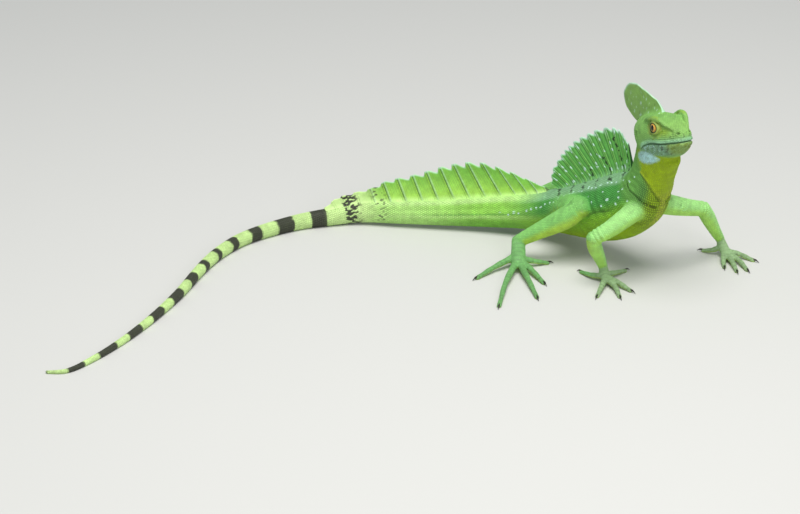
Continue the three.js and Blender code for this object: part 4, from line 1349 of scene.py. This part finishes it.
def coat_piece(name, places, normals, ways, sizes, charts, thick, ink, slot="skin", seed=1, painted_relief_strength=1):
    points, faces = tiles(places, normals, ways, sizes, thick, seed)
    points[:, 2] = np.maximum(points[:, 2], 0.01)
    mesh = mesh_of(name, points, faces)
    draw = np.random.default_rng(seed + 100)
    own = ink * draw.uniform(0.91, 1.09, (len(ink), 1))
    # Painted shade and highlight: each tile's rim corners are darkened as painted shade in the grooves
    # between scales, and its keel and tip are lightened as a painted highlight. The last argument sets how
    # strong both are.
    shade = np.array([-0.26, -0.24, -0.28, -0.34, -0.28, -0.24, 0.07, 0.1])
    shade = 1 + shade[None] * np.broadcast_to(painted_relief_strength, len(ink))[:, None]
    add_colour(mesh, np.clip(own[:, None] * shade[..., None], 0.002, 1).reshape(-1, 3))
    patch = 0.0026 * np.array([[0.5, 0], [0.2, 0.45], [-0.25, 0.45], [-0.5, 0], [-0.25, -0.45],
        [0.2, -0.45], [-0.2, 0], [0.3, 0]])
    spread = 0.005 + 0.99 * charts[:, None] + patch[None]
    corner = read(mesh.loops, "vertex_index", 1, np.int32)[:, 0]
    layer = mesh.uv_layers.new(name="OFBake")
    unwrapped = np.clip(spread, 0.001, 0.999).reshape(-1, 2)[corner]
    layer.data.foreach_set("uv", unwrapped.astype(np.float32).ravel())
    return show(name, mesh, scale_finish, slot)


CROWDED = 0.72  # nearest that two scales may stand, in the smaller of length and width
placed = []  # every scale so far, so that rows of neighbouring parts don't crowd each other


def tree_of(places):
    near = KDTree(len(places))
    for i, place in enumerate(places):
        near.insert(place, i)
    near.balance()
    return near


def uncrowded(places, sizes):
    if not placed:
        placed.append(places)
        return np.ones(len(places), bool)
    near = tree_of(np.vstack(placed))
    gap = CROWDED * np.minimum(sizes[:, 0], sizes[:, 1])
    free = np.array([near.find(place)[2] > g for place, g in zip(places, gap)])
    placed.append(places[free])
    return free


BARE_LID = 1.75  # rows of scales end here, in the lids' own measure


def lay(name, parts, thick, reach, seed):
    # parts: rows_on results with their chart's place (left, bottom, width, height) in the unwrap.
    gathered = []
    for (places, ways, sizes, charts), (left, low, wide, tall) in parts:
        spots, normals, ok = snap(places, reach)
        gathered.append([v[ok] for v in (spots, normals, ways, sizes, charts * [wide, tall] + [left, low])])
    spots, normals, ways, sizes, charts = [np.vstack(v) for v in zip(*gathered)]
    free = uncrowded(spots, sizes)
    spots, normals, ways, sizes, charts = [v[free] for v in (spots, normals, ways, sizes, charts)]
    head = to_head(spots)
    open_eye = np.zeros(len(spots), bool)
    for side in (1, -1):
        open_eye |= lid_measure(head, side)[0] < BARE_LID
    keep = ~(open_eye | near_mouth(head, 0.75))
    spots, normals, ways, sizes, charts = [v[keep] for v in (spots, normals, ways, sizes, charts)]
    throat = throat_share(locate(spots), spots)
    sizes = sizes * (1 - 0.1 * throat[:, None])
    # The scales' painted shade and painted highlight are made stronger under the neck and on the chest.
    return coat_piece(name, spots, normals, ways, sizes, charts, thick, hide_colour(spots, normals), "skin",
        seed, 1.15 + 1.1 * throat)


# %% Scales of trunk and neck
def cut(st, low, high):
    pick = (st["s"] >= low) & (st["s"] <= high)
    return {key: value[pick] for key, value in st.items()}


trunk = cut(body, -146, 2)
trunk_rows = rows_on(trunk, *trunk["size"].T, BODY_POWER, lambda s: 1.55 + 0.35 * smooth(-110, -70, s),
    lambda s: 1.35 + 0.3 * smooth(-110, -70, s))
lay("trunk_scales", [(trunk_rows, (0, 0, 1, 1))], 0.16, 3.2, 11)

# %% Scales of the tail
tail = cut(body, 2, 486)
tail_rows = rows_on(tail, *tail["size"].T, BODY_POWER, lambda s: 1.8 - 0.4 * smooth(150, 480, s),
    lambda s: 1.45 - 0.6 * smooth(120, 480, s))
lay("tail_scales", [(tail_rows, (0, 0, 1, 1))], 0.16, 2.5, 12)


# %% Scales of the head
def head_rows():
    phi = np.linspace(0, 2 * np.pi, 121)
    flat, rows = head_stations(160)
    st = {"s": rows[:, 0], "centre": from_head(flat["centre"]), "side": np.tile(LEFT, (160, 1)),
        "back": np.tile(CROWN, (160, 1)), "run": np.tile(SNOUT, (160, 1))}
    places, ways, sizes, charts = rows_on(st, *rows[:, 1:4].T, 2.3, 1.45, 1.35)
    return places, -ways, sizes, charts


lay("head_scales", [(head_rows(), (0, 0, 1, 1))], 0.15, 3.5, 13)

# %% Scales of legs and feet
leg_parts, foot_parts = [], []
limb_tubes = [t for t in tubes if t["family"] == "limb"]
foot_tubes = [t for t in tubes if t["family"] == "foot"]
for group, parts, long, wide in ((limb_tubes, leg_parts, 1.55, 1.35), (foot_tubes, foot_parts, 1.15, 1.05)):
    for i, tube in enumerate(group):
        st = stations(tube["rows"], 0.7)
        r = st["size"][:, 0]
        chart = (0, i / len(group), 1, 0.96 / len(group))
        parts.append((rows_on(st, r, r * tube["flat"], r * tube["flat"], 2, long, wide), chart))
lay("leg_scales", leg_parts, 0.15, 1.6, 14)
lay("foot_scales", foot_parts, 0.15, 1.2, 15)


# %% [markdown]
# ## Scales where no row reaches
# Rows stop at knees, elbows, palms, lids and brows, because a row needs a course to follow. There the skin
# of a real lizard carries small granules without order, so points of the skin are tried in a random order
# and each one that is far enough from every scale gets a granule.

# %% Granules between the rows
GRANULE_CELL = 1.2  # mm, a little more than the widest gap between granules


def granules():
    near = tree_of(np.vstack(placed))
    head = to_head(skin_points)
    lens = np.minimum(lid_measure(head, 1)[0], lid_measure(head, -1)[0])
    slit = near_mouth(head, 0.6)
    wide = np.where(head_share(skin_points) > 0.5, 1.05, np.where(here[2]["ratio"] < 1.4, 1.0, 1.35))
    wide = np.where(lens < 2.4, 0.75, wide)
    chosen, cells = [], {}
    for i in np.random.default_rng(16).permutation(len(skin_points))[::3]:
        place, gap = skin_points[i], 0.82 * wide[i]
        if slit[i] or lens[i] < 1.3 or near.find(place)[2] < gap:
            continue
        cell = tuple(np.floor(place / GRANULE_CELL).astype(int))
        around = [cells.get((cell[0] + a, cell[1] + b, cell[2] + c), ()) for a in (-1, 0, 1)
            for b in (-1, 0, 1) for c in (-1, 0, 1)]
        if all(math.dist(place, other) > gap for group in around for other in group):
            cells.setdefault(cell, []).append(place)
            chosen.append(i)
    return np.array(chosen), wide, head


chosen, wide, head = granules()
families = [{key: value[chosen] for key, value in f.items()} for f in here]
best = np.array([f["ratio"] for f in families]).argmin(0)
on_head = head_share(skin_points[chosen]) > 0.5
pick = lambda key: np.array([f[key] for f in families])[best, np.arange(len(chosen))]
ways = np.where(on_head[:, None], -SNOUT, pick("run"))
turn = (pick("phi") + np.pi) / (2 * np.pi)
head_turn = (np.arctan2(head[chosen, 1], head[chosen, 2]) + np.pi) / (2 * np.pi)
charts = np.c_[np.where(on_head, 0.15 * (head[chosen, 0] + 10) / 60, 0.16 + 0.84 * pick("row")),
    np.where(on_head, head_turn, turn)]
sizes = np.c_[1.1 * wide[chosen], wide[chosen]]
ink = hide_colour(skin_points[chosen], skin_normals[chosen])
coat_piece("granules", skin_points[chosen], skin_normals[chosen], ways, sizes, charts, 0.15, ink, seed=16)


# %% Scales of the sails
def sail_scales(name, per_ray, phases, seed):
    # Scales stand in columns beside the ribs and leave each ray's groove bare.
    faces, data, inks = sail_faces[name]
    columns, heights = data["t"].shape
    picks = np.array([c for c in range(1, columns - 1) if c % per_ray in phases])
    gathered = []
    for side, (face, ink) in enumerate(zip(faces, inks)):
        colours = ink.reshape(columns, heights, 3)
        for k, c in enumerate(picks):
            r = np.arange(2, heights - 4)
            spot, above = face[c, r], face[c, r + 1]
            if k % 2:
                spot, above = (spot + above) / 2, face[c, r + 2] - (face[c, r + 2] - face[c, r + 1]) / 2
            out = unit(above - spot)
            over = unit(face[c + 1, r] - face[c - 1, r])
            normal = unit(np.cross(out, over)) * (-1 if side == 0 else 1)
            gaps = [np.linalg.norm(face[picks[j], r] - face[c, r], axis=1)
                for j in (max(k - 1, 0), min(k + 1, len(picks) - 1)) if j != k]
            size = np.c_[np.linalg.norm(above - spot, axis=1) * 1.2, 0.92 * np.minimum.reduce(gaps)]
            chart = np.c_[np.full(len(r), data["t"][c, 0]), 0.02 + 0.46 * data["h"][c, r] + 0.5 * side]
            fine = (size[:, 0] > 0.25) & (size[:, 1] > 0.25)
            gathered.append([v[fine] for v in (spot, normal, out, size, chart, colours[c, r])])
    spots, normals, ways, sizes, charts, ink = [np.vstack(v) for v in zip(*gathered)]
    coat_piece(name + "_scales", spots, normals, ways, sizes, charts, 0.12, ink, "crest", seed)


sail_scales("back_sail", 18, (2, 5, 9, 13, 16), 21)
sail_scales("tail_sail", 24, (2, 5, 8, 11, 13, 16, 19, 22), 22)
sail_scales("casque", 30, (0, 4, 8, 12, 16, 20, 24, 27), 23)
